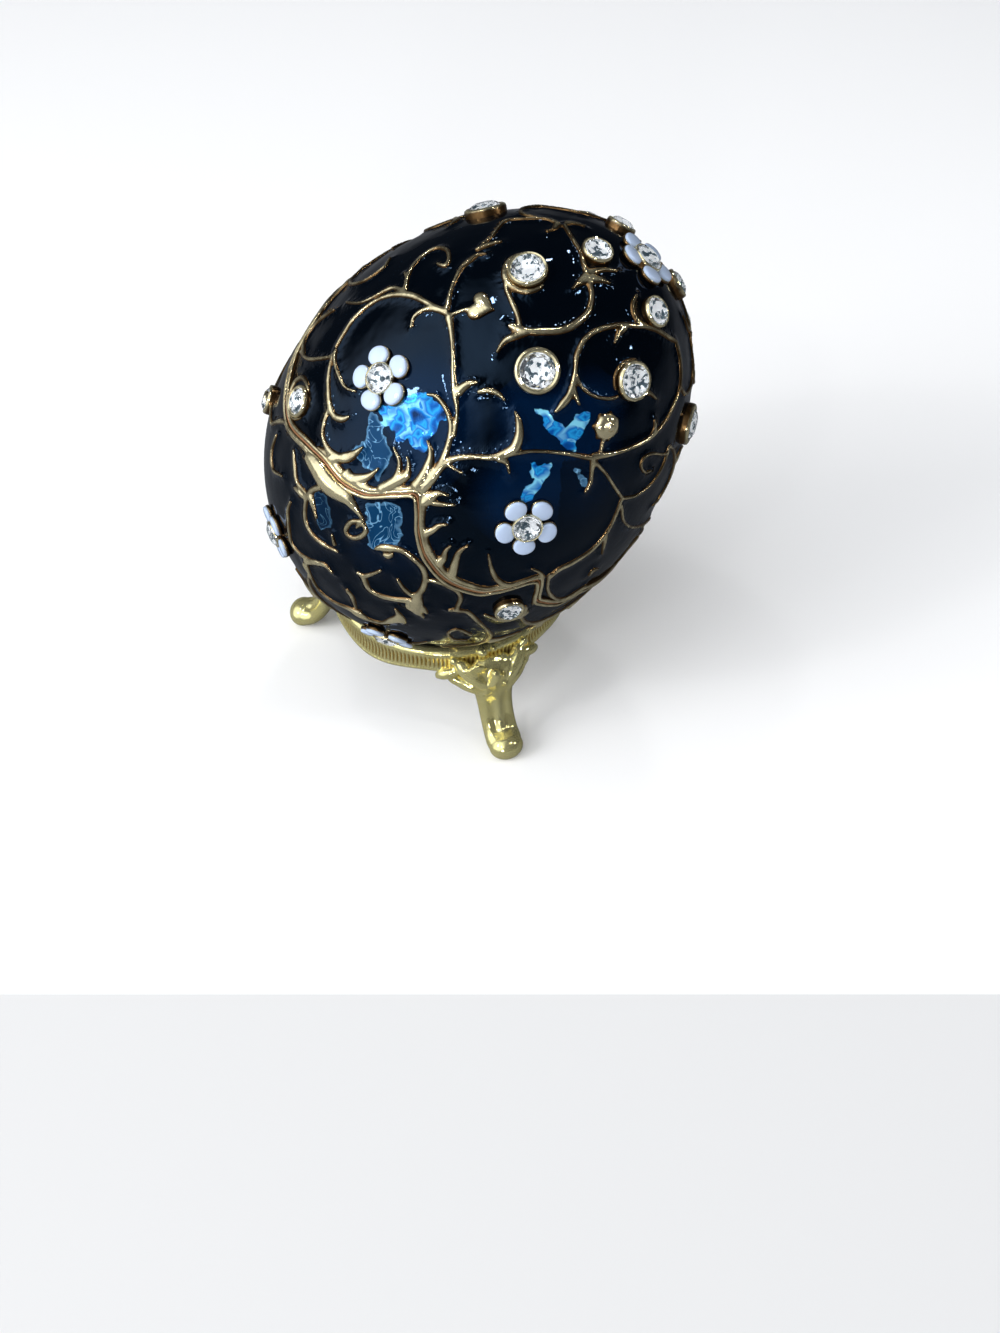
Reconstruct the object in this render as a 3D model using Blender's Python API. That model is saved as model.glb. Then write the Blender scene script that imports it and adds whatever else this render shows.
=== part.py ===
"""Jeweled egg trinket box that leans in the ring of a small three-legged stand.

The egg is a hollow casting in two shells, a base and a lid, that part along a wavy seam
and turn on a hinge at the back. Stones sit in raised cups, each with its own socket.
The egg is modelled upright about its own middle, and one empty leans it into the stand.
"""

import math

import bmesh
import bpy
from mathutils import Matrix, Vector

# Egg: outer skin, wall and pose
EGG_WIDTH = 0.0494
EGG_HEIGHT = 0.0632
EGG_TAPER = 0.09
WALL = 0.0013
EGG_LEAN = 37.7
EGG_SPIN = -26.5
EGG_SHIFT = 0.0047

# Seam between lid and base: gap, rolled edges, and its wave, which repeats at the back.
# The wave holds degrees round the egg from its front and polar degrees from its top.
SEAM_GAP = 0.0004
SEAM_BEAD_WIDTH = 0.0010
SEAM_BEAD_RISE = 0.0003
SEAM_WAVE = (
    (-78, 88.3), (-60, 98.5), (-44, 102.0), (-31, 98.3), (-24, 96.4), (-18, 95.8),
    (-10, 92.8), (-4, 87.0), (0, 83.8), (3, 85.8), (7, 89.6), (14, 93.8), (23, 95.8),
    (32, 94.6), (37, 91.4), (44.5, 86.0), (52, 92.6), (62, 93.4), (68, 89.5),
)
SEAM_REPEAT = 180

# Hinge at the back, on a level stretch of the seam
HINGE_AZIMUTH = 180
HINGE_POLAR = 95.5
HINGE_LEVEL = 15
HINGE_BLEND = 12
HINGE_BARREL = 0.0011
HINGE_PIN = 0.0005
HINGE_PIN_PLAY = 0.00006
HINGE_CENTRE_LENGTH = 0.0040
HINGE_END_LENGTH = 0.0026
HINGE_LEAF_HEIGHT = 0.0050
HINGE_LEAF_THICKNESS = 0.0007

# Magnets that hold the lid shut, in lugs inside the front
MAGNET_DIAMETER = 0.0030
MAGNET_THICKNESS = 0.0015
MAGNET_LUG_RADIUS = 0.0024
MAGNET_LUG_INSET = 0.0036
MAGNET_LUG_HEIGHT = 0.0027

# Clearances between separate pieces
CLEARANCE = 0.0003
STONE_CLEARANCE = 0.0002

# Stones: diameter of each kind, and the cup that holds it
CUP_WALL = 0.00045
CUP_RISE = 0.0008
STONE_DEPTH = 0.0014
STONE_CROWN = 0.0005
TOP_STONE = 0.0034
CROWN_STONE = 0.0030
SHOULDER_STONE = 0.0036
RING_STONE = 0.0038
FLOWER_STONE = 0.0032
EDGE_STONE = 0.0030
SIDE_STONE = 0.0030

# Enamel flowers round some of the stones
PETALS = 5
PETAL_REACH = 0.00245
PETAL_RADIUS = 0.0011
PETAL_RISE = 0.0006

# Scrolls in relief: rise, half width at the middle, and the lines they follow on each
# shell as degrees round the egg and polar degrees. The lines repeat at the back.
SCROLL_RISE = 0.00035
SCROLL_WIDTH = 0.00045
SCROLL_REPEAT = 180
SCROLLS = {
    "lid": (
        ((-35, 56), (-21, 60), (-4, 69.5)),
        ((-35, 56), (-48, 61.5), (-55, 72), (-49, 82.5)),
        ((-51, 63.5), (-61.5, 61), (-66, 55.5), (-57.5, 52.5)),
        ((-73.5, 26.5), (-42, 22), (-19, 24), (-3, 30), (-4.5, 37.5), (-19.5, 46.5)),
        ((36.5, 22.5), (9.5, 30), (7, 39), (14.5, 49.5)),
        ((71.5, 24), (75, 35.5), (57, 47.5), (34, 55)),
        ((0, 83), (0.5, 72.5), (10, 64.5), (20.5, 59), (35, 55.5)),
        ((35, 55.5), (55.5, 62), (57, 71), (48.5, 82)),
        ((-46, 84), (-38, 88), (-20, 93), (-8, 90.5), (0, 81)),
        ((0, 81), (6, 87), (17.5, 92.5), (32.5, 91), (46, 84)),
    ),
    "base": (
        ((-50, 110), (-30, 101), (-9, 98)),
        ((-17.5, 99.5), (-22, 106), (-18, 112.5), (-8, 112)),
        ((3.5, 99), (10.5, 97), (19.5, 102), (25, 107.5), (13, 112), (4, 110)),
    ),
}

# Stand: ring, band and three legs
STAND_X = -0.0034
STAND_Y = -0.0010
STAND_HEIGHT = 0.0170
RING_RADIUS = 0.0164
RING_BEAD = 0.0009
LIP_REACH = 0.0030
LIP_DROP = 0.0012
LIP_THICKNESS = 0.0007
BAND_HEIGHT = 0.0042
BAND_THICKNESS = 0.0011
BAND_WAVE = 0.0006
LEG_AZIMUTH = 21
LEG_COUNT = 3
LEG_WIDTH = 0.0056
LEG_DEPTH = 0.0030
TOE_REACH = 0.0234
FOOT_CUT = 0.0006
LEAF_SPREAD = 36

# Facets: steps round each form, and the length of a scroll's straight stretches
EGG_STEPS = 48
LID_ROWS = 8
BASE_ROWS = 6
INNER_ROWS = 4
STONE_STEPS = 9
SCROLL_STEP = 0.0027
RING_STEPS = 45
BARREL_STEPS = 16


def profile_shape(polar):
    """How wide the egg is at a polar angle from its top, as a share before scaling."""
    return math.sin(polar) * (1 - EGG_TAPER * math.cos(polar))


PROFILE_PEAK = max(profile_shape(math.radians(angle)) for angle in range(60, 121))


def egg_profile(polar, inset=0.0):
    """Radius and height of the egg's skin, or of a skin set in by inset."""
    radius = (EGG_WIDTH / 2 - inset) * profile_shape(polar) / PROFILE_PEAK
    return radius, (EGG_HEIGHT / 2 - inset) * math.cos(polar)


def polar_at(height, inset=0.0):
    """Polar angle at which the skin has a height."""
    share = height / (EGG_HEIGHT / 2 - inset)
    return math.acos(max(-1.0, min(1.0, share)))


def height_at(polar):
    """Height of the skin at a polar angle in degrees."""
    return EGG_HEIGHT / 2 * math.cos(math.radians(polar))


def around(azimuth, radius, height):
    """Point at an azimuth in degrees: 0 is the front, -Y, and 90 is +X."""
    turn = math.radians(azimuth)
    return Vector((radius * math.sin(turn), -radius * math.cos(turn), height))


def skin_frame(azimuth, height, rise=0.0):
    """Frame on the egg's skin: Z outwards, X to the right, Y up towards the top."""
    polar = polar_at(height)
    step = 1e-4
    low = egg_profile(min(polar + step, math.pi))
    high = egg_profile(max(polar - step, 0.0))
    run = Vector((high[0] - low[0], high[1] - low[1])).normalized()
    turn = math.radians(azimuth)
    side = Vector((math.cos(turn), math.sin(turn), 0))
    outwards = around(azimuth, run.y, -run.x)
    upwards = outwards.cross(side)
    spot = around(azimuth, *egg_profile(polar)) + outwards * rise
    frame = Matrix((side, upwards, outwards)).transposed().to_4x4()
    frame.translation = spot
    return frame


def skin_point(azimuth, height, rise=0.0):
    """Point on the egg's skin, lifted off it by rise."""
    return skin_frame(azimuth, height, rise).translation


def smooth_through(knots, where, repeat):
    """Smooth curve through knots that repeat, with no overshoot between them."""
    first = knots[0][0]
    where = first + (where - first) % repeat
    count = len(knots)

    def knot(index):
        turns, place = divmod(index, count)
        return knots[place][0] + turns * repeat, knots[place][1]

    def slope(index):
        before, here, after = knot(index - 1), knot(index), knot(index + 1)
        left = (here[1] - before[1]) / (here[0] - before[0])
        right = (after[1] - here[1]) / (after[0] - here[0])
        return 0.0 if left * right <= 0 else 2 * left * right / (left + right)

    place = max(i for i in range(count) if knots[i][0] <= where)
    start, end = knot(place), knot(place + 1)
    width = end[0] - start[0]
    t = (where - start[0]) / width
    ease = t * t * (3 - 2 * t)
    lift = slope(place) * t * (1 - t) ** 2 - slope(place + 1) * t * t * (1 - t)
    return start[1] + (end[1] - start[1]) * ease + width * lift


def seam_height(azimuth):
    """Height of the seam: a wave that runs level where the hinge sits."""
    wave = height_at(smooth_through(SEAM_WAVE, azimuth, SEAM_REPEAT))
    away = abs((azimuth - HINGE_AZIMUTH + 180) % 360 - 180)
    t = max(0.0, min(1.0, (away - HINGE_LEVEL) / HINGE_BLEND))
    ease = t * t * (3 - 2 * t)
    return HINGE_HEIGHT + (wave - HINGE_HEIGHT) * ease


def seat_height():
    """Height of the egg's middle over the ring's bead at which the two just clear."""
    outline = [egg_profile(math.radians(angle)) for angle in range(60, 181)]
    unlean = Matrix.Rotation(math.radians(-EGG_LEAN), 3, "Y")
    needed = RING_BEAD + CLEARANCE

    def clears(height):
        for azimuth in range(0, 360, 15):
            bead = around(azimuth, RING_RADIUS, -height) - Vector((EGG_SHIFT, 0, 0))
            spot = unlean @ bead
            across = math.hypot(spot.x, spot.y)
            if min(math.hypot(across - r, spot.z - z) for r, z in outline) < needed:
                return False
        return True

    low, high = EGG_WIDTH / 3, EGG_WIDTH
    for _ in range(24):
        middle = (low + high) / 2
        if clears(middle):
            high = middle
        else:
            low = middle
    return high


HINGE_HEIGHT = height_at(HINGE_POLAR)
HINGE_RADIUS = egg_profile(polar_at(HINGE_HEIGHT))[0] + SEAM_BEAD_RISE + CLEARANCE + HINGE_BARREL
HINGE_POINT = around(HINGE_AZIMUTH, HINGE_RADIUS, HINGE_HEIGHT)
RING_LEVEL = STAND_HEIGHT - FOOT_CUT - RING_BEAD
EGG_CENTRE = Vector((STAND_X + EGG_SHIFT, STAND_Y, RING_LEVEL + seat_height()))


def clear_scene():
    for thing in list(bpy.data.objects):
        bpy.data.objects.remove(thing, do_unlink=True)


def make_material(name, colour, roughness, metallic=0.0, transmission=0.0):
    material = bpy.data.materials.new(name)
    material.use_nodes = True
    material.diffuse_color = (*colour, 1.0)
    shader = material.node_tree.nodes["Principled BSDF"]
    shader.inputs["Base Color"].default_value = (*colour, 1.0)
    shader.inputs["Roughness"].default_value = roughness
    shader.inputs["Metallic"].default_value = metallic
    shader.inputs["Transmission Weight"].default_value = transmission
    return material


def loft(bm, rings, endless=False):
    """Skin rings of points in turn. A ring of one point is a pole, other ends are capped."""
    rows = [[bm.verts.new(point) for point in ring] for ring in rings]
    pairs = list(zip(rows, rows[1:]))
    if endless:
        pairs.append((rows[-1], rows[0]))
    faces = []
    for low, high in pairs:
        count = max(len(low), len(high))
        for i in range(count):
            j = (i + 1) % count
            corners = (low[i % len(low)], low[j % len(low)], high[j % len(high)], high[i % len(high)])
            faces.append(bm.faces.new(dict.fromkeys(corners)))
    if not endless:
        for row in (rows[0], rows[-1]):
            if len(row) > 2:
                faces.append(bm.faces.new(row))
    bmesh.ops.recalc_face_normals(bm, faces=faces)


def circle(frame, radius, height, steps=STONE_STEPS):
    """Ring of points round a frame's Z axis."""
    turns = [2 * math.pi * i / steps for i in range(steps)]
    return [frame @ Vector((radius * math.cos(t), radius * math.sin(t), height)) for t in turns]


def turned(bm, frame, outline, steps=STONE_STEPS):
    """Solid turned about a frame's Z axis from radius and height pairs."""
    rings = []
    for radius, height in outline:
        if radius:
            rings.append(circle(frame, radius, height, steps))
        else:
            rings.append([frame @ Vector((0, 0, height))])
    loft(bm, rings)


def make_object(name, bm, material, pivot=None, smooth=35):
    """Object from a mesh in egg or stand coordinates, hung on a pivot empty."""
    mesh = bpy.data.meshes.new(name)
    bm.to_mesh(mesh)
    bm.free()
    if smooth:
        mesh.shade_smooth()
        mesh.set_sharp_from_angle(angle=math.radians(smooth))
    if material:
        mesh.materials.append(material)
    thing = bpy.data.objects.new(name, mesh)
    bpy.context.scene.collection.objects.link(thing)
    hang(thing, pivot)
    return thing


def hang(thing, pivot):
    """Parent a thing to a pivot, so that it keeps its place in egg coordinates."""
    if pivot:
        thing.parent = pivot
        thing.matrix_parent_inverse = Matrix.Translation(-Vector(pivot["from_middle"]))


def make_pivot(name, location, rotation, parent, from_middle):
    """Empty on a joint's axis, which remembers how far it is from the egg's middle."""
    pivot = bpy.data.objects.new(name, None)
    bpy.context.scene.collection.objects.link(pivot)
    pivot.empty_display_size = 0.004
    pivot.parent = parent
    pivot.location = location
    pivot.rotation_euler = rotation
    pivot["from_middle"] = from_middle
    return pivot


def combine(target, operation, cutter, crossing=False):
    """Live Boolean with a guide object that the build leaves out."""
    cutter.hide_render = True
    cutter.display_type = "WIRE"
    boolean = target.modifiers.new(cutter.name, "BOOLEAN")
    boolean.operation = operation
    boolean.solver = "EXACT"
    boolean.use_self = crossing
    boolean.object = cutter


def shell_rings(side, rows):
    """Rings of a shell from its outer pole to its edge and back inside: side 1 is the lid."""
    columns = [360 * i / EGG_STEPS for i in range(EGG_STEPS)]
    edges = [seam_height(a) + side * SEAM_GAP / 2 for a in columns]
    pole = 0.0 if side > 0 else math.pi

    def ring(share, inset, down=0.0):
        points = []
        for azimuth, edge in zip(columns, edges):
            polar_edge = polar_at(edge + side * down, inset)
            polar = pole + (polar_edge - pole) * share
            points.append(around(azimuth, *egg_profile(polar, inset)))
        return points

    rings = [[around(0, *egg_profile(pole))]]
    rings += [ring(row / rows, 0.0, SEAM_BEAD_WIDTH) for row in range(1, rows + 1)]
    rings.append(ring(1.0, -SEAM_BEAD_RISE, SEAM_BEAD_WIDTH * 0.6))
    rings.append(ring(1.0, -SEAM_BEAD_RISE))
    rings += [ring(row / INNER_ROWS, WALL) for row in range(INNER_ROWS, 0, -1)]
    rings.append([around(0, *egg_profile(pole, WALL))])
    return rings


def stone_spots():
    """Every stone: name, azimuth, polar angle, diameter, shell, and petal turn or None."""
    spots = [
        ("top_crystal", 0, 0, TOP_STONE, "lid", 20),
        ("base_side_crystal", -64, 112, SIDE_STONE, "base", None),
    ]

    def add(name, azimuths, polar, diameter, shell, petals=None, first=1):
        for number, azimuth in enumerate(azimuths, first):
            spots.append((f"{name}_{number}", azimuth, polar, diameter, shell, petals))

    add("crown_crystal", (-40, 44, 140, -136), 17.5, CROWN_STONE, "lid")
    add("shoulder_crystal", (-37, 37, 143, -143), 36.5, SHOULDER_STONE, "lid")
    add("ring_crystal", (0, 94, 180, -94), 48, RING_STONE, "lid")
    add("flower_crystal", (-30, 29, 150, -151), 74.8, FLOWER_STONE, "lid", 12)
    add("lid_edge_crystal", (-44, 136), 96.2, EDGE_STONE, "lid")
    add("base_edge_crystal", (45, -135), 96.8, EDGE_STONE, "base")
    add("base_flower_crystal", (-30, 32), 134, FLOWER_STONE, "base", 12)
    add("base_flower_crystal", (150, -148), 142, FLOWER_STONE, "base", 12, first=3)
    return spots


def add_cup(bm, frame, stone):
    """Raised cup that a stone sits in, sunk half into the wall."""
    outer = stone / 2 + STONE_CLEARANCE + CUP_WALL
    turned(bm, frame, ((outer, -WALL / 2), (outer, CUP_RISE)))


def add_socket(bm, frame, stone):
    """Hollow for a stone: straight to its girdle, then a cone that follows its back."""
    radius = stone / 2 + STONE_CLEARANCE
    girdle = CUP_RISE - STONE_CLEARANCE
    point = girdle - STONE_DEPTH - STONE_CLEARANCE
    turned(bm, frame, ((STONE_CLEARANCE * 2, point), (radius, girdle), (radius, CUP_RISE * 2)))


def add_flower(bm, frame, turn):
    """Five round petals in one raised plate."""
    steps = PETALS * 5
    outline = []
    for i in range(steps):
        angle = 2 * math.pi * i / steps
        lobe = (angle * PETALS / (2 * math.pi)) % 1 - 0.5
        swing = lobe * 2 * math.pi / PETALS
        # Far side of the petal's circle, seen from the flower's middle
        across = PETAL_REACH * math.sin(swing)
        depth = math.sqrt(max(PETAL_RADIUS ** 2 - across ** 2, 0.0))
        reach = PETAL_REACH * math.cos(swing) + depth
        outline.append((reach, angle + math.radians(turn)))
    rings = []
    for height in (-WALL / 2, PETAL_RISE):
        rings.append([frame @ Vector((r * math.cos(a), r * math.sin(a), height)) for r, a in outline])
    loft(bm, rings)


def eased(line):
    """Smooth run through a line's few points, in even steps, extended straight at its ends."""
    ends = [Vector(point) for point in line]
    ends = [2 * ends[0] - ends[1], *ends, 2 * ends[-1] - ends[-2]]
    run = []
    for a, b, c, d in zip(ends, ends[1:], ends[2:], ends[3:]):
        shrink = math.sin(math.radians((b.y + c.y) / 2))
        length = math.radians(math.hypot((c.x - b.x) * shrink, c.y - b.y)) * EGG_WIDTH / 2
        steps = max(1, round(length / SCROLL_STEP))
        for step in range(steps):
            t = step / steps
            bend = (2 * a - 5 * b + 4 * c - d) * t * t + (3 * b - a - 3 * c + d) * t ** 3
            run.append(b + ((c - a) * t + bend) / 2)
    return [*run, ends[-2]]


def add_scroll(bm, line, side):
    """Ridge along a line on the skin, tapered at both ends and clear of the seam."""
    run = eased(line)
    rings = []
    for i, (azimuth, polar) in enumerate(run):
        share = math.sin(math.pi * (i + 0.6) / (len(run) + 0.2))
        width = SCROLL_WIDTH * (0.45 + 0.55 * share)
        edge = seam_height(azimuth) + side * (SEAM_GAP / 2 + SCROLL_WIDTH * 1.5)
        frame = skin_frame(azimuth, side * max(side * height_at(polar), side * edge))
        after = run[min(i + 1, len(run) - 1)] - run[max(i - 1, 0)]
        turn = math.atan2(-after.y, after.x * math.sin(math.radians(polar)))
        across = Vector((math.sin(turn), -math.cos(turn), 0)) * width
        root = Vector((0, 0, -SCROLL_RISE / 2))
        corners = (across + root, Vector((0, 0, SCROLL_RISE)), root - across, Vector((0, 0, -WALL / 2)))
        rings.append([frame @ corner for corner in corners])
    loft(bm, rings)


def make_stone(name, frame, stone, material, pivot, meshes):
    """Cut stone: table, crown and back. Stones of one size share a mesh."""
    if stone not in meshes:
        bm = bmesh.new()
        girdle = CUP_RISE
        radius = stone / 2
        outline = ((0, girdle - STONE_DEPTH), (radius, girdle), (radius * 0.62, girdle + STONE_CROWN))
        turned(bm, Matrix(), outline)
        mesh = bpy.data.meshes.new("stone_cut")
        bm.to_mesh(mesh)
        bm.free()
        mesh.materials.append(material)
        meshes[stone] = mesh
    thing = bpy.data.objects.new(name, meshes[stone])
    bpy.context.scene.collection.objects.link(thing)
    thing.matrix_basis = frame
    hang(thing, pivot)


def lug_frame():
    """Frame at the front, upright, in the middle of the magnets' lugs."""
    radius = egg_profile(polar_at(seam_height(0)))[0] - MAGNET_LUG_INSET
    return Matrix.Translation(around(0, radius, seam_height(0)))


def make_shell(name, side, rows, spots, materials, pivot):
    """One half of the egg with its cups, petals, sockets and magnet lug."""
    bm = bmesh.new()
    loft(bm, shell_rings(side, rows))
    shell = make_object(name, bm, materials["enamel"], pivot)
    raised = bmesh.new()
    sunk = bmesh.new()
    for _, azimuth, polar, stone, _, petals in spots:
        frame = skin_frame(azimuth, height_at(polar))
        add_cup(raised, frame, stone)
        add_socket(sunk, frame, stone)
        if petals is not None:
            add_flower(raised, frame, petals)
    for line in SCROLLS["lid" if side > 0 else "base"]:
        for turn in (0, SCROLL_REPEAT):
            add_scroll(raised, [(azimuth + turn, polar) for azimuth, polar in line], side)
    face = side * SEAM_GAP / 2
    lug = lug_frame()
    turned(raised, lug, ((MAGNET_LUG_RADIUS, face), (MAGNET_LUG_RADIUS, face + side * MAGNET_LUG_HEIGHT)), 16)
    pocket = MAGNET_DIAMETER / 2 + CLEARANCE
    depth = MAGNET_THICKNESS + CLEARANCE
    turned(sunk, lug, ((pocket, face - side * SEAM_GAP), (pocket, face + side * depth)), 16)
    combine(shell, "UNION", make_object(f"{name}_raised", raised, materials["gilt"], pivot), True)
    combine(shell, "DIFFERENCE", make_object(f"{name}_sunk", sunk, materials["gilt"], pivot))


def make_magnet(name, side, material, pivot):
    bm = bmesh.new()
    face = side * SEAM_GAP / 2
    radius = MAGNET_DIAMETER / 2
    turned(bm, lug_frame(), ((radius, face), (radius, face + side * MAGNET_THICKNESS)), 16)
    make_object(name, bm, material, pivot)


def hinge_frame():
    """Frame on the hinge's axis, with Z along the pin."""
    frame = Matrix.Rotation(math.radians(90), 4, "Y")
    frame.translation = HINGE_POINT
    return frame


def add_barrel(bm, start, end, radius):
    """Length of round bar along the hinge's axis."""
    turned(bm, hinge_frame(), ((radius, start), (radius, end)), BARREL_STEPS)


def add_leaf(bm, side):
    """Leaf that follows the shell's outside, from the barrel away from the seam."""
    reach = math.degrees((HINGE_CENTRE_LENGTH / 2 + CLEARANCE + HINGE_END_LENGTH) / HINGE_RADIUS)
    inner = SEAM_BEAD_RISE + CLEARANCE
    outer = inner + HINGE_LEAF_THICKNESS
    azimuths = [HINGE_AZIMUTH + reach * share for share in (-1, -0.5, 0, 0.5, 1)]
    rings = []
    for azimuth in azimuths:
        heights = [HINGE_HEIGHT + side * (CLEARANCE + HINGE_LEAF_HEIGHT * i / 3) for i in range(4)]
        ring = [skin_point(azimuth, height, inner) for height in heights]
        ring += [skin_point(azimuth, height, outer) for height in reversed(heights)]
        rings.append(ring)
    loft(bm, rings)


def make_hinge(materials, base, lid):
    """Two leaves with interleaved knuckles, and the pin through them."""
    half = HINGE_CENTRE_LENGTH / 2
    inner = half + CLEARANCE
    end = inner + HINGE_END_LENGTH
    relief = HINGE_BARREL + CLEARANCE
    knuckles = {"base": ((-end, -inner), (inner, end)), "lid": ((-half, half),)}
    notches = {"base": ((-inner, inner),), "lid": ((-end - CLEARANCE, -half), (half, end + CLEARANCE))}
    for owner, side, pivot in (("base", -1, base), ("lid", 1, lid)):
        name = f"{owner}_hinge_leaf"
        leaf = bmesh.new()
        add_leaf(leaf, side)
        leaf = make_object(name, leaf, materials["gilt"], pivot)
        notch = bmesh.new()
        for start, stop in notches[owner]:
            add_barrel(notch, start, stop, relief)
        combine(leaf, "DIFFERENCE", make_object(f"{name}_notch", notch, None, pivot))
        barrel = bmesh.new()
        for start, stop in knuckles[owner]:
            add_barrel(barrel, start, stop, HINGE_BARREL)
        combine(leaf, "UNION", make_object(f"{name}_barrel", barrel, materials["gilt"], pivot))
        bore = bmesh.new()
        add_barrel(bore, -end * 1.2, end * 1.2, HINGE_PIN + HINGE_PIN_PLAY)
        combine(leaf, "DIFFERENCE", make_object(f"{name}_bore", bore, None, pivot))
    pin = bmesh.new()
    add_barrel(pin, -end - CLEARANCE, end + CLEARANCE, HINGE_PIN)
    make_object("hinge_pin", pin, materials["steel"], base)


def leg_azimuths():
    return [LEG_AZIMUTH + 360 * i / LEG_COUNT for i in range(LEG_COUNT)]


def ring_section(azimuth):
    """Cross-section of the stand's ring: a rolled bead, a lip under the egg, and a wavy band."""
    wave = BAND_WAVE * math.cos(math.radians(2 * LEG_COUNT * (azimuth - LEG_AZIMUTH)))
    top = STAND_HEIGHT - RING_BEAD
    low = STAND_HEIGHT - BAND_HEIGHT - wave
    section = []
    for angle in range(-30, 211, 48):
        turn = math.radians(angle)
        section.append((RING_RADIUS + RING_BEAD * math.cos(turn), top + RING_BEAD * math.sin(turn)))
    inner = RING_RADIUS - BAND_THICKNESS / 2
    outer = RING_RADIUS + BAND_THICKNESS / 2
    lip = (RING_RADIUS - LIP_REACH, top - LIP_DROP)
    section += [lip, (lip[0], lip[1] - LIP_THICKNESS), (inner, top - RING_BEAD - LIP_THICKNESS)]
    section += [(inner, low), (outer + BAND_THICKNESS / 3, low)]
    section += [(outer + BAND_THICKNESS / 3, (low + top - RING_BEAD) / 2), (outer, top - RING_BEAD)]
    return [around(azimuth, radius, height) for radius, height in section]


def add_rod(bm, path, steps=10, flute=0.0):
    """Tapered bar along path stations: centre, width direction, half width, half depth."""
    rings = []
    for i, (centre, side, half_width, half_depth) in enumerate(path):
        before = path[max(i - 1, 0)][0]
        after = path[min(i + 1, len(path) - 1)][0]
        front = (after - before).normalized().cross(side).normalized()
        ring = []
        for step in range(steps):
            turn = 2 * math.pi * step / steps
            depth = half_depth * math.sin(turn)
            if depth > 0.9 * half_depth:
                depth -= flute
            ring.append(centre + side * half_width * math.cos(turn) + front * depth)
        rings.append(ring)
    loft(bm, rings)


def add_leg(bm, azimuth):
    """Cabriole leg: a knee at the ring, a waist, and a rounded toe."""
    side = Vector((math.cos(math.radians(azimuth)), math.sin(math.radians(azimuth)), 0))
    knee = RING_RADIUS + LEG_DEPTH * 0.3
    reach = TOE_REACH - knee
    width = LEG_WIDTH / 2
    depth = LEG_DEPTH / 2
    # Share of the height, share of the reach, width and depth as shares
    stations = (
        (0.90, 0.00, 0.55, 0.50),
        (0.83, 0.10, 1.00, 1.00),
        (0.72, 0.16, 1.05, 1.15),
        (0.58, 0.20, 0.85, 0.95),
        (0.44, 0.28, 0.76, 0.80),
        (0.30, 0.42, 0.74, 0.74),
        (0.18, 0.66, 0.76, 0.80),
        (0.12, 0.90, 0.84, 1.20),
        (0.09, 1.10, 0.80, 1.15),
        (0.08, 1.26, 0.52, 0.75),
    )
    path = []
    for high, out, wide, deep in stations:
        centre = around(azimuth, knee + reach * out, STAND_HEIGHT * high)
        path.append((centre, side, width * wide, depth * deep))
    add_rod(bm, path, 12, LEG_DEPTH * 0.12)


def add_side_leaf(bm, azimuth, direction):
    """Acanthus leaf that runs from the knee along the band, in two lobes and a curled tip."""
    stations = (
        (0.00, 0.76, 1.15),
        (0.22, 0.73, 1.35),
        (0.42, 0.76, 0.85),
        (0.58, 0.73, 1.15),
        (0.78, 0.77, 0.65),
        (0.92, 0.79, 0.85),
        (1.00, 0.81, 0.35),
    )
    path = []
    for along, high, size in stations:
        turn = azimuth + direction * LEAF_SPREAD * along
        outwards = around(turn, 1, 0)
        centre = around(turn, RING_RADIUS + BAND_THICKNESS, STAND_HEIGHT * high)
        path.append((centre, outwards, LEG_DEPTH / 4 * size, LEG_WIDTH / 4 * size))
    add_rod(bm, path, 8)


def make_stand(material):
    """One casting: ring, legs and leaves, cut flat where the toes meet the ground."""
    ring = bmesh.new()
    loft(ring, [ring_section(360 * i / RING_STEPS) for i in range(RING_STEPS)], endless=True)
    stand = make_object("tripod_stand", ring, material)
    limbs = bmesh.new()
    for azimuth in leg_azimuths():
        add_leg(limbs, azimuth)
        add_side_leaf(limbs, azimuth, 1)
        add_side_leaf(limbs, azimuth, -1)
    limbs = make_object("stand_limbs", limbs, material)
    ground = bmesh.new()
    size = 4 * TOE_REACH
    drop = Matrix.Translation((0, 0, FOOT_CUT - size / 2)) @ Matrix.Scale(size, 4)
    bmesh.ops.create_cube(ground, size=1, matrix=drop)
    ground = make_object("stand_ground", ground, None, smooth=0)
    combine(stand, "UNION", limbs, True)
    combine(stand, "DIFFERENCE", ground)
    for thing in (stand, limbs, ground):
        thing.location = (STAND_X, STAND_Y, -FOOT_CUT)


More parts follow.
